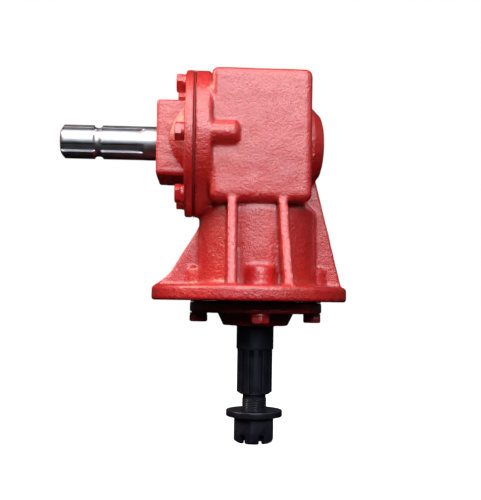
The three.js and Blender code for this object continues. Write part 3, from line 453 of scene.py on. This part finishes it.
def bright_steel(name):
    """Ground and polished steel with fine turning lines round a shaft that lies along X."""
    nodes = Nodes(name)
    nodes.set(Metallic=1.0)
    lines = nodes.noise(2600, 3, 0.6, place=nodes.stretched((1, 0.04, 0.04)))
    blotch = nodes.noise(90, 3)
    colour = nodes.mix(blotch, (0.40, 0.40, 0.43), (0.50, 0.50, 0.53))
    roughness = nodes.span(nodes.maths("ADD", lines, blotch), 0.7, 1.3, 0.36, 0.46)
    normal = nodes.bump(lines, 0.001 * MM, 0.1)
    return nodes.finish(colour, roughness, normal)


def black_oxide(name):
    """Blackened steel with a film of oil, worn to bare metal on its edges."""
    oiled, matt, bare = (0.006, 0.006, 0.010), (0.018, 0.017, 0.027), (0.22, 0.19, 0.20)
    nodes = Nodes(name)
    nodes.set(Metallic=0.35, Coat_Weight=0.6, Coat_Roughness=0.2, Coat_Tint=(0.80, 0.84, 1.0, 1))
    tone = nodes.noise(70, 4, 0.6)
    colour = nodes.mix(tone, oiled, matt)
    wear = nodes.span(nodes.pointiness(), 0.52, 0.60)
    worn = nodes.maths("MULTIPLY", wear, nodes.span(nodes.noise(300, 3), 0.3, 0.6))
    colour = nodes.mix(nodes.maths("MULTIPLY", worn, 0.7), colour, bare)
    roughness = nodes.span(tone, 0.3, 0.7, 0.30, 0.46)
    normal = nodes.bump(nodes.noise(900, 3), 0.05 * MM, 0.5)
    return nodes.finish(colour, roughness, normal)


def machined_steel(name, low, high, rough):
    """Bare turned or hobbed steel, between two greys."""
    nodes = Nodes(name)
    nodes.set(Metallic=1.0)
    colour = nodes.mix(nodes.noise(120, 3), low, high)
    roughness = nodes.span(nodes.noise(400, 3), 0.3, 0.7, rough, rough + 0.12)
    return nodes.finish(colour, roughness, nodes.bump(nodes.noise(1500, 2), 0.02 * MM, 0.4))


def dull(name, low, high, rough):
    """Rubber or gasket paper, between two colours."""
    nodes = Nodes(name)
    colour = nodes.mix(nodes.noise(200, 4), low, high)
    roughness = nodes.span(nodes.noise(500, 2), 0.3, 0.7, rough, rough + 0.1)
    return nodes.finish(colour, roughness, nodes.bump(nodes.noise(1200, 3), 0.05 * MM, 0.5))


PAINT = red_paint("red_paint")
FASTENER_PAINT = red_paint("red_paint_on_fasteners", grain=0.25)
POLISHED = bright_steel("polished_steel")
BLACK = black_oxide("black_oxide")
BEARING = machined_steel("bearing_steel", (0.42, 0.42, 0.44), (0.56, 0.56, 0.58), 0.2)
GEAR = machined_steel("gear_steel", (0.22, 0.22, 0.24), (0.34, 0.34, 0.36), 0.32)
RUBBER = dull("seal_rubber", (0.014, 0.014, 0.015), (0.032, 0.032, 0.034), 0.5)
PAPER = dull("gasket_paper", (0.16, 0.012, 0.012), (0.26, 0.02, 0.018), 0.6)

CAD_FINISHES = {
    "red_paint": FASTENER_PAINT,
    "polished_steel": POLISHED,
    "black_oxide": BLACK,
    "bearing_steel": BEARING,
    "gear_steel": GEAR,
    "seal_rubber": RUBBER,
    "gasket_paper": PAPER,
}


def finish_cad_nodes():
    """Every CAD node gets its slot's finish. Those that a finer piece stands for aren't shown."""
    for part in frame["record"]["subparts"]:
        node = NODES[part["node"]]
        node.data.materials.clear()
        node.data.materials.append(CAD_FINISHES[part["material_slot"]])


# ---- Castings ----

def rounder(points, centre, axis, facets, low, high, span):
    """Moves points of a faceted round out to the true round, if their radius and place on the axis fit."""
    across = [i for i in range(3) if i != axis]
    flat = points[:, across] - np.array(centre)
    radius = np.hypot(flat[:, 0], flat[:, 1])
    pitch = TAU / facets
    angle = np.mod(np.arctan2(flat[:, 1], flat[:, 0]) + TAU, pitch) - pitch / 2
    along = points[:, axis]
    chosen = (radius > low) & (radius < high) & (along > span[0]) & (along < span[1])
    factor = np.cos(angle) / math.cos(pitch / 2)
    flat[chosen] *= factor[chosen, None]
    points[:, across] = flat + np.array(centre)


def cast_mesh(name, node, voxel, passes, rounds):
    """The CAD casting as a fine mesh with rounded edges and filleted corners. rounder gets each of rounds."""
    piece = link(name, NODES[node].data.copy())
    weld(piece, 0.01 * MM)
    remesh = piece.modifiers.new("voxels", "REMESH")
    remesh.mode = "VOXEL"
    remesh.voxel_size = voxel
    settle(piece)
    points = read_points(piece.data)
    for values in rounds:
        rounder(points, **values)
    write_points(piece.data, points)
    relax = piece.modifiers.new("fillets", "SMOOTH")
    relax.factor = 0.5
    relax.iterations = passes
    settle(piece)
    return piece


def undulate(piece, node, depth, size):
    """A slow waviness of the cast skin, as a sand mould leaves it, kept within the CAD node's box."""
    mesh = piece.data
    points = read_points(mesh)
    normals = np.array([tuple(entry.vector) for entry in mesh.vertex_normals])
    shift = Vector((3.1, 7.7, 1.9))  # any fixed place in the noise
    waves = np.array([noise.noise(Vector(point) / size + shift) for point in points])
    points += normals * ((waves - 0.4) * depth)[:, None]
    lo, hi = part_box(node)
    write_points(mesh, np.clip(points, lo, hi))


def make_housing():
    """The main casting. Its deck flange lies off the output axis."""
    lo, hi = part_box("main_housing")
    deck_radius = hi.y
    deck_centre = (lo.x + deck_radius, 0)
    deck_rim = dict(centre=deck_centre, axis=Z_AXIS, facets=LARGE_FACETS, low=95 * MM, high=101 * MM,
                    span=(-1 * MM, 16 * MM))
    input_ring = dict(centre=INPUT_CENTRE, axis=X_AXIS, facets=LARGE_FACETS, low=73 * MM, high=77 * MM,
                      span=(-66 * MM, -49 * MM))
    rear_boss = dict(centre=INPUT_CENTRE, axis=X_AXIS, facets=SMALL_FACETS, low=29 * MM, high=43 * MM,
                     span=(50 * MM, 70 * MM))
    column = dict(centre=OUTPUT_CENTRE, axis=Z_AXIS, facets=SMALL_FACETS, low=57 * MM, high=62 * MM,
                  span=(20 * MM, 94 * MM))
    rounds = [deck_rim, input_ring, rear_boss, column]
    piece = cast_mesh("housing_casting", "main_housing", voxel=1.8 * MM, passes=4, rounds=rounds)
    undulate(piece, "main_housing", depth=0.3 * MM, size=14 * MM)
    smooth(piece, 180)
    return stand_for(piece, ["main_housing"], HOUSING, PAINT)


def make_input_cap():
    """The cap's flange and its conical hub are round, and its pad is square."""
    flange = dict(centre=INPUT_CENTRE, axis=X_AXIS, facets=LARGE_FACETS, low=73 * MM, high=77 * MM,
                  span=(-76 * MM, -65 * MM))
    hub = dict(centre=INPUT_CENTRE, axis=X_AXIS, facets=SMALL_FACETS, low=39 * MM, high=52 * MM,
               span=(-95 * MM, -74.5 * MM))
    piece = cast_mesh("input_cap_casting", "input_cap", voxel=1.1 * MM, passes=5, rounds=[flange, hub])
    undulate(piece, "input_cap", depth=0.25 * MM, size=12 * MM)
    smooth(piece, 180)
    return stand_for(piece, ["input_cap"], HOUSING, PAINT)


def make_output_cap():
    """A round plate with a hub, under the deck flange."""
    plate = dict(centre=OUTPUT_CENTRE, axis=Z_AXIS, facets=SMALL_FACETS, low=66 * MM, high=68 * MM,
                 span=(-13 * MM, 0))
    hub = dict(centre=OUTPUT_CENTRE, axis=Z_AXIS, facets=SMALL_FACETS, low=32 * MM, high=40 * MM,
               span=(-26 * MM, -12.5 * MM))
    piece = cast_mesh("output_cap_casting", "output_cap", voxel=1.1 * MM, passes=3, rounds=[plate, hub])
    undulate(piece, "output_cap", depth=0.15 * MM, size=12 * MM)
    smooth(piece, 180)
    return stand_for(piece, ["output_cap"], HOUSING, PAINT)


def make_rear_plug():
    """A pressed plug with a low dome, in the rear boss."""
    lo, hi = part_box("rear_plug")
    radius = (hi.y - lo.y) / 2
    dome_high = 3 * MM
    rim = hi.x - dome_high
    turns = np.linspace(math.pi / 2, 0, 9)[1:-1]
    dome = [(radius * math.sin(turn), rim + dome_high * math.cos(turn)) for turn in turns]
    profile = [(0, lo.x), (radius, lo.x), (radius, rim - 0.4 * MM), *dome, (0, hi.x)]
    piece = turned("rear_plug_pressing", profile, 96, on_input_axis())
    smooth(piece, 40)
    return stand_for(piece, ["rear_plug"], HOUSING, FASTENER_PAINT)


# ---- Bolts, washers and plugs ----

def hex_head(name, across, seat, high, place=None):
    """A bolt's head that hangs below the seat, with the 30 degree chamfer of a forged head."""
    corner = across / 2 / math.cos(math.pi / 6)
    face = across * 0.46
    low = seat - high
    chamfer = (corner - face) * math.tan(math.radians(30))
    outside = corner + 0.1 * MM
    profile = [(0, low - MM), (face - 1.6 * MM, low - MM), (face, low), (outside, low + chamfer),
               (outside, seat + MM), (0, seat + MM)]
    head = hexagon(name, across, low, seat)
    boolean(head, turned("envelope", profile, 48), "INTERSECT")
    if place is not None:
        head.data.transform(place)
    return head


def bolt_mesh(length):
    """A bolt drawn about +Z for a face at z = 0: the head and its washer hang below, the shank runs up."""
    seat = -SPRING_WASHER_HIGH
    tip = seat + length
    bolt = hex_head("bolt", BOLT_ACROSS, seat, BOLT_HEAD_HIGH)
    profile = [(0, seat - MM), (BOLT_SHANK_R, seat - MM), (BOLT_SHANK_R, tip - MM), (BOLT_POINT_R, tip),
               (0, tip)]
    boolean(bolt, turned("shank", profile, 24), "UNION")
    smooth(bevelled(bolt, 0.35 * MM), 40)
    mesh = bolt.data
    bpy.data.objects.remove(bolt)
    return mesh


def spring_washer_mesh():
    """A split ring of square section, pressed flat between the head and a face at z = 0."""
    inner, outer = SPRING_WASHER_R
    slack = CAD_GAP - FILL
    low, high = -SPRING_WASHER_HIGH + slack, -slack
    half_split = 0.12
    start = (inner, (low + high) / 2)
    corners = [start, (inner, low), (outer, low), (outer, high), (inner, high), start]
    square = rounded(corners, 0.3 * MM, 2)[:-1]
    rings = []
    for angle in np.linspace(half_split, TAU - half_split, 64):
        rings.append([(r * math.cos(angle), r * math.sin(angle), z) for r, z in square])
    piece = smooth(weld(loft("spring_washer", rings)), 40)
    mesh = piece.data
    bpy.data.objects.remove(piece)
    return mesh


def place_of(node, axis, face, index):
    """Where a bolt or washer stands: its CAD node's centre, with the head turned as the CAD's is."""
    lo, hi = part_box(node)
    centre = (lo + hi) / 2
    turn = Matrix.Rotation(BOLT_TURN * index, 4, "Z")
    if axis == X_AXIS:
        local = Matrix.Translation((INPUT_HEIGHT - centre.z, centre.y, face))
        return on_input_axis() @ local @ turn
    return Matrix.Translation((centre.x, centre.y, face)) @ turn


def make_bolts():
    """Six bolts and spring washers hold the input cap, and four the output cap."""
    washer = spring_washer_mesh()
    for group, count, axis in (("input_cap", 6, X_AXIS), ("output_cap", 4, Z_AXIS)):
        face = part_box(f"{group}_spring_washer_1")[1][axis] + CAD_GAP
        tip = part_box(f"{group}_bolt_1")[1][axis]
        bolt = bolt_mesh(tip - face + SPRING_WASHER_HIGH)
        for index in range(count):
            for kind, mesh in (("bolt", bolt), ("spring_washer", washer)):
                node = f"{group}_{kind}_{index + 1}"
                piece = link(f"fine_{node}", mesh.copy())
                piece.data.transform(place_of(node, axis, face, index))
                stand_for(piece, [node], HOUSING, FASTENER_PAINT)


def make_plugs():
    """The filler, level and drain plugs: a hexagon on a round collar."""
    top, collar = PLUG_BODY_HIGH, PLUG_COLLAR_R
    under_collar = top - PLUG_COLLAR_HIGH
    profile = [(0, 0), (PLUG_THREAD_R - 0.8 * MM, 0), (PLUG_THREAD_R, 0.8 * MM),
               (PLUG_THREAD_R, under_collar), (collar, under_collar), (collar, top - 0.5 * MM),
               (collar - 0.5 * MM, top), (0, top)]
    head_up = Matrix.Rotation(math.pi, 4, "X")
    for node, axis in (("filler_plug", Z_AXIS), ("level_plug", Y_AXIS), ("drain_plug", Y_AXIS)):
        lo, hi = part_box(node)
        centre = (lo + hi) / 2
        head_high = hi[axis] - lo[axis] - PLUG_BODY_HIGH
        plug = hex_head(f"fine_{node}", PLUG_HEX_ACROSS, 0, head_high + MM, head_up)
        plug.data.transform(Matrix.Translation((0, 0, PLUG_BODY_HIGH - MM)))
        boolean(plug, turned("collar", profile, 64), "UNION")
        bevelled(plug, 0.3 * MM)
        place = Matrix.Translation((centre.x, centre.y, lo.z))
        if axis == Y_AXIS:
            place = Matrix.Translation((centre.x, lo.y, centre.z)) @ Matrix.Rotation(-math.pi / 2, 4, "X")
        plug.data.transform(place)
        smooth(plug, 40)
        stand_for(plug, [node], HOUSING, FASTENER_PAINT)


def make_seals():
    """Each shaft's oil seal: a cased ring with a rubber lip that leans in to the shaft."""
    case, lip = 29 * MM, 20.3 * MM
    for node, axis in (("input_oil_seal", X_AXIS), ("output_oil_seal", Z_AXIS)):
        lo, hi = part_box(node)
        front, back = lo[axis], hi[axis]
        profile = [(lip, front + 2 * MM), (lip + 2 * MM, front), (case - 0.6 * MM, front),
                   (case, front + 0.6 * MM), (case, back), (case - 2.5 * MM, back),
                   (case - 3 * MM, front + 2.5 * MM), (lip + 2.5 * MM, front + 4 * MM)]
        place = on_input_axis() if axis == X_AXIS else None
        piece = smooth(turned(f"fine_{node}", profile, 96, place), 30)
        stand_for(piece, [node], HOUSING, RUBBER)


def make_gaskets():
    """Squeezed paper that fills each joint, with paint over its edge."""
    groups = (
        ("input_cap_gasket", X_AXIS, 56 * MM, 75.4 * MM),
        ("output_cap_gasket", Z_AXIS, 41.3 * MM, 66.8 * MM),
    )
    for node, axis, inner, outer in groups:
        lo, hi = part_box(node)
        low, high = lo[axis] - FILL, hi[axis] + FILL
        profile = [(inner, low), (outer, low), (outer, high), (inner, high)]
        place = on_input_axis() if axis == X_AXIS else None
        piece = smooth(turned(f"fine_{node}", profile, 128, place), 30)
        stand_for(piece, [node], HOUSING, PAPER)


# ---- Shafts ----

def spline_angles(count, minor, major, tooth):
    """Angles round a splined shaft with stations at the corners of each tooth."""
    high = math.asin(tooth / 2 / major)
    low = math.asin(tooth / 2 / minor)
    pitch = TAU / count
    past_foot = low * 1.06
    tooth_side = [0, high * 0.5, high * 0.9, high, low, past_foot]
    gap = [past_foot + (pitch / 2 - past_foot) * t for t in (0.35, 0.7, 1.0)]
    half = tooth_side + gap
    around = [-a for a in reversed(half[1:-1])] + half
    return [i * pitch + a for i in range(count) for a in around]


def spline_radius(angle, count, minor, major, tooth):
    """Radius of a straight-sided spline at an angle, with the tips' corners eased."""
    pitch = TAU / count
    away = abs((angle + pitch / 2) % pitch - pitch / 2)
    high = math.asin(tooth / 2 / major)
    low = math.asin(tooth / 2 / minor)
    if away >= low * 0.999:
        return minor
    if away > high * 1.001:
        return tooth / 2 / math.sin(away)
    eased = 0.12 * MM if away > high * 0.95 else 0
    return major - eased


def run_out(z, start, end):
    """0 where the splines are at full depth, rising to 1 along the cutter's arc at the end."""
    t = min(1, max(0, (z - start) / (end - start)))
    return t * t


def cut_key_seat(shaft, key):
    """A slot in the shaft round its key."""
    lo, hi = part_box(key)
    clear = Vector((1, 1, 1)) * KEY_GAP
    return boolean(shaft, bar("seat", lo - clear, hi + clear), "DIFFERENCE")


def lock_groove_radius(x):
    """The input stub's radius in its round lock groove at x. Off the groove, more than any of the stub."""
    across = (x - PTO_GROOVE_X) / PTO_GROOVE_HALF
    if abs(across) > 1:
        return PTO_MAJOR_R + MM
    deep = PTO_MAJOR_R - PTO_MINOR_R + 0.1 * MM
    return PTO_MAJOR_R - deep * math.sqrt(1 - across ** 2)


def thread_radius(angle, z):
    """The output shaft's outer thread, run out at both ends."""
    phase = (z / THREAD_PITCH - angle / TAU) % 1
    ridge = THREAD_R - THREAD_DEEP * abs(2 * phase - 1)
    return min(ridge, THREAD_R - 1.6 * MM + (z - SHAFT_END_Z), THREAD_R - THREAD_DEEP + (THREAD_TOP_Z - z))


def make_input_shaft():
    """The bright splined stub, then the journals inside, drawn about +Z with z standing for world X."""
    rear_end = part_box("input_shaft")[1].x
    ring_lo, ring_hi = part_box("input_snap_ring")
    sleeve_lo, sleeve_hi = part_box("input_spacer_sleeve")
    angles = spline_angles(PTO_SPLINES, PTO_MINOR_R, PTO_MAJOR_R, PTO_TOOTH)
    splines = [spline_radius(a, PTO_SPLINES, PTO_MINOR_R, PTO_MAJOR_R, PTO_TOOTH) for a in angles]
    tooth_up = math.pi / 2
    run_out_start = PTO_RUN_OUT_X - PTO_RUN_OUT_LONG
    groove_lo, groove_hi = PTO_GROOVE_X - PTO_GROOVE_HALF, PTO_GROOVE_X + PTO_GROOVE_HALF
    stations = [
        *np.linspace(INPUT_TIP_X, INPUT_TIP_X + 3.5 * MM, 6),
        *np.linspace(INPUT_TIP_X + 4 * MM, groove_lo - MM, 10),
        *np.linspace(groove_lo, groove_hi, 17),
        *np.linspace(groove_hi + MM, run_out_start - MM, 10),
        *np.linspace(run_out_start, PTO_RUN_OUT_X - 0.1 * MM, 14),
    ]
    rings = []
    for x in stations:
        chamfer = 12.9 * MM + (x - INPUT_TIP_X) * 1.5
        limit = min(chamfer, lock_groove_radius(x))
        rise = run_out(x, run_out_start, PTO_RUN_OUT_X - 0.5 * MM)
        radii = [min(r + (PTO_MAJOR_R - r) * rise, limit) for r in splines]
        rings.append(ring(angles, radii, x, tooth_up))
    profile = [
        (PTO_RUN_OUT_X, PTO_MAJOR_R), (PAD_FACE_X - MM, PTO_MAJOR_R),
        (PAD_FACE_X + 1.5 * MM, INPUT_JOURNAL_R), (ring_lo.x - 0.2 * MM, INPUT_JOURNAL_R),
        (ring_lo.x - 0.1 * MM, SNAP_GROOVE_R), (ring_hi.x + 0.2 * MM, SNAP_GROOVE_R),
        (ring_hi.x + 0.3 * MM, INPUT_JOURNAL_R), (sleeve_lo.x - 0.4 * MM, INPUT_JOURNAL_R),
        (sleeve_lo.x - 0.3 * MM, INPUT_SLEEVE_R), (sleeve_hi.x - 0.3 * MM, INPUT_SLEEVE_R),
        (sleeve_hi.x, INPUT_REAR_R), (rear_end - MM, INPUT_REAR_R), (rear_end, INPUT_REAR_R - MM),
    ]
    rings += [circle(angles, r, x, tooth_up) for x, r in profile]
    piece = weld(loft("fine_input_shaft", rings, on_input_axis()))
    smooth(cut_key_seat(piece, "input_gear_key"), 30)
    return stand_for(piece, ["input_shaft"], INPUT_BODY, POLISHED)


def make_output_shaft():
    """From its lower end up: the outer thread, the neck, the splines, the land and the journals inside."""
    shaft_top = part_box("output_shaft")[1].z
    cap_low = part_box("output_cap")[0].z
    cone_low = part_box("output_lower_bearing_cone")[0].z
    pinion_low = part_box("output_bevel_pinion")[0].z
    pinion_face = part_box("output_pinion_lock_washer")[0].z - 0.8 * MM
    angles = spline_angles(OUTPUT_SPLINES, OUTPUT_MINOR_R, OUTPUT_MAJOR_R, OUTPUT_TOOTH)
    splines = [spline_radius(a, OUTPUT_SPLINES, OUTPUT_MINOR_R, OUTPUT_MAJOR_R, OUTPUT_TOOTH)
               for a in angles]
    rings_per_turn = 8
    thread_long = THREAD_TOP_Z - SHAFT_END_Z
    count = int(thread_long / THREAD_PITCH * rings_per_turn)
    rings = []
    for i in range(count + 1):
        z = SHAFT_END_Z + thread_long * i / count
        rings.append(ring(angles, [thread_radius(a, z) for a in angles], z))
    for z in (THREAD_TOP_Z + 0.5 * MM, SPLINE_BOTTOM_Z):
        rings.append(circle(angles, THREAD_R - THREAD_DEEP, z))
    run_out_start = SPLINE_TOP_Z - SPLINE_RUN_OUT
    stations = [
        *[SPLINE_BOTTOM_Z + step * MM for step in (0.05, 0.8, 1.6, 2.4, 3.2)],
        *np.linspace(SPLINE_BOTTOM_Z + 4 * MM, run_out_start - MM, 8),
        *np.linspace(run_out_start, SPLINE_TOP_Z, 10),
    ]
    for z in stations:
        chamfer = THREAD_R + 1.8 * MM + (z - SPLINE_BOTTOM_Z) * 1.5
        rise = run_out(z, run_out_start, SPLINE_TOP_Z)
        rings.append(ring(angles, [min(r + (OUTPUT_MAJOR_R - r) * rise, chamfer) for r in splines], z))
    profile = [
        (SPLINE_TOP_Z + 0.8 * MM, OUTPUT_LAND_R), (cap_low - 1.5 * MM, OUTPUT_LAND_R),
        (cap_low, OUTPUT_JOURNAL_R), (cone_low - 5 * MM, OUTPUT_JOURNAL_R),
        (cone_low - 4.9 * MM, OUTPUT_COLLAR_R), (cone_low - 0.4 * MM, OUTPUT_COLLAR_R),
        (cone_low - 0.3 * MM, OUTPUT_JOURNAL_R), (pinion_low - 0.6 * MM, OUTPUT_JOURNAL_R),
        (pinion_low - 0.5 * MM, PINION_SEAT_R), (pinion_face, PINION_SEAT_R),
        (pinion_face + 0.1 * MM, PINION_THREAD_R), (shaft_top - 1.2 * MM, PINION_THREAD_R),
        (shaft_top, PINION_THREAD_R - 1.2 * MM),
    ]
    rings += [circle(angles, r, z) for z, r in profile]
    piece = weld(loft("fine_output_shaft", rings))
    smooth(cut_key_seat(piece, "output_pinion_key"), 30)
    return stand_for(piece, ["output_shaft"], OUTPUT_BODY, BLACK)


def make_output_washer():
    """The thick round washer above the nut, with rounded edges."""
    lo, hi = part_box("output_washer")
    outer = (hi.y - lo.y) / 2 + 0.1 * MM
    inner = THREAD_R + 0.3 * MM
    start = (inner, (lo.z + hi.z) / 2)
    corners = [start, (inner, lo.z), (outer, lo.z), (outer, hi.z), (inner, hi.z), start]
    piece = smooth(turned("fine_output_washer", rounded(corners, 0.9 * MM)[:-1], 128), 50)
    return stand_for(piece, ["output_washer"], OUTPUT_BODY, BLACK)


def make_castle_nut():
    """A hexagon with chamfered corners, a bore and three slots right across its lower end."""
    lo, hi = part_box("castle_nut")
    low, high = lo.z, hi.z
    corner = NUT_ACROSS / 2 / math.cos(math.pi / 6)
    outside = corner + 0.6 * MM
    nut = hexagon("fine_castle_nut", NUT_ACROSS, low, high, Matrix.Rotation(NUT_TURN + math.pi / 6, 4, "Z"))
    envelope = [(0, low - MM), (corner - 6.6 * MM, low - MM), (outside, low + 3.6 * MM),
                (outside, high - 0.4 * MM), (corner - 1.2 * MM, high + 0.4 * MM), (0, high + 0.4 * MM)]
    boolean(nut, turned("envelope", envelope, 96), "INTERSECT")
    bore, mouth = THREAD_R + 0.2 * MM, THREAD_R + 3.2 * MM
    profile = [(0, low - 2 * MM), (mouth, low - 2 * MM), (bore, low + MM), (bore, high - MM),
               (mouth, high + 2 * MM), (0, high + 2 * MM)]
    boolean(nut, turned("bore", profile, 96), "DIFFERENCE")
    half = NUT_SLOT_WIDE / 2
    for index in range(3):
        slot = bar("slot", (-30 * MM, -half, low - MM), (30 * MM, half, low + NUT_SLOT_DEEP))
        slot.data.transform(Matrix.Rotation(NUT_TURN + math.radians(30 + 60 * index), 4, "Z"))
        boolean(nut, slot, "DIFFERENCE")
    smooth(bevelled(nut, 0.4 * MM, 25), 40)
    return stand_for(nut, ["castle_nut"], OUTPUT_BODY, BLACK)


# ---- Camera, light and floor ----

LIGHT_AIM = (-20 * MM, 0, 80 * MM)


def make_camera():
    """Level with the deck flange, 0.8 m away, a little to the input side, rolled by under a degree."""
    data = bpy.data.cameras.new("camera")
    data.sensor_width = 36
    data.lens = 56
    data.clip_start = 0.01
    camera = bpy.data.objects.new("camera", data)
    bpy.context.scene.collection.objects.link(camera)
    camera.location = (-57 * MM, -800 * MM, 0)
    ahead = Vector((39.5, 776.7, 51)).normalized()
    roll = Matrix.Rotation(math.radians(-0.9), 3, ahead)
    camera.rotation_mode = "QUATERNION"
    camera.rotation_quaternion = roll.to_quaternion() @ ahead.to_track_quat("-Z", "Y")
    bpy.context.scene.camera = camera


def make_floor():
    """A plain white floor just under the nut. It lights nothing and shows in nothing."""
    half = 12
    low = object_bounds()[0].z - 0.2 * MM
    corners = [(-half, -half, low), (half, -half, low), (half, half, low), (-half, half, low)]
    floor = link("floor", mesh_of("floor", corners, [(0, 1, 2, 3)]))
    nodes = Nodes("pale_floor")
    nodes.set(Roughness=0.9, Emission_Strength=1.0, Emission_Color=(1, 1, 1, 1), Specular_IOR_Level=0.0)
    tone = nodes.mix(nodes.noise(3, 2), (0.62, 0.62, 0.62), (0.64, 0.64, 0.64))
    floor.data.materials.append(nodes.finish(tone))
    floor.visible_diffuse = False
    floor.visible_glossy = False


def soft_light(name, at, size, watts, colour):
    """A rectangular lamp that faces the middle of the housing."""
    data = bpy.data.lights.new(name, "AREA")
    data.shape = "RECTANGLE"
    data.size, data.size_y = size
    data.energy = watts
    data.color = colour
    light = bpy.data.objects.new(name, data)
    bpy.context.scene.collection.objects.link(light)
    light.location = at
    light.rotation_mode = "QUATERNION"
    light.rotation_quaternion = (Vector(LIGHT_AIM) - Vector(at)).to_track_quat("-Z", "Y")


def make_lights():
    """A cool wide lamp in front, two above it and to the left, and a faint one on the right."""
    soft_light("front_box", (0.08, -1.62, 0.88), (1.8, 0.9), 31, (0.88, 0.94, 1.0))
    soft_light("top_box", (-0.15, -0.75, 1.5), (1.3, 0.9), 17, (1.0, 0.97, 0.96))
    soft_light("left_box", (-1.25, -0.22, 0.95), (0.8, 0.8), 20, (1.0, 0.80, 0.66))
    soft_light("right_box", (1.3, -0.6, 0.9), (0.9, 0.9), 2.5, (0.92, 0.95, 1.0))


def make_world():
    """Bright above the horizon and dark below it; the background itself is white."""
    world = bpy.data.worlds.new("studio")
    bpy.context.scene.world = world
    world.use_nodes = True
    tree = world.node_tree
    tree.nodes.clear()
    place = tree.nodes.new("ShaderNodeTexCoord")
    split = tree.nodes.new("ShaderNodeSeparateXYZ")
    rise = tree.nodes.new("ShaderNodeMapRange")
    rise.interpolation_type = "SMOOTHSTEP"
    rise.inputs["From Min"].default_value = -0.12
    rise.inputs["From Max"].default_value = 0.22
    rise.inputs["To Min"].default_value = 0.005
    rise.inputs["To Max"].default_value = 0.05
    around = tree.nodes.new("ShaderNodeBackground")
    behind = tree.nodes.new("ShaderNodeBackground")
    behind.inputs["Strength"].default_value = 1.0
    behind.inputs["Color"].default_value = (1, 1, 1, 1)
    path = tree.nodes.new("ShaderNodeLightPath")
    choose = tree.nodes.new("ShaderNodeMixShader")
    out = tree.nodes.new("ShaderNodeOutputWorld")
    tree.links.new(place.outputs["Generated"], split.inputs[0])
    tree.links.new(split.outputs["Z"], rise.inputs["Value"])
    tree.links.new(rise.outputs["Result"], around.inputs["Strength"])
    tree.links.new(path.outputs["Is Camera Ray"], choose.inputs[0])
    tree.links.new(around.outputs[0], choose.inputs[1])
    tree.links.new(behind.outputs[0], choose.inputs[2])
    tree.links.new(choose.outputs[0], out.inputs[0])


bpy.context.scene.view_settings.view_transform = "Standard"
make_camera()
make_world()
make_lights()
make_floor()
finish_cad_nodes()
make_housing()
make_input_cap()
make_output_cap()
make_rear_plug()
make_bolts()
make_plugs()
make_seals()
make_gaskets()
make_input_shaft()
make_output_shaft()
make_output_washer()
make_castle_nut()
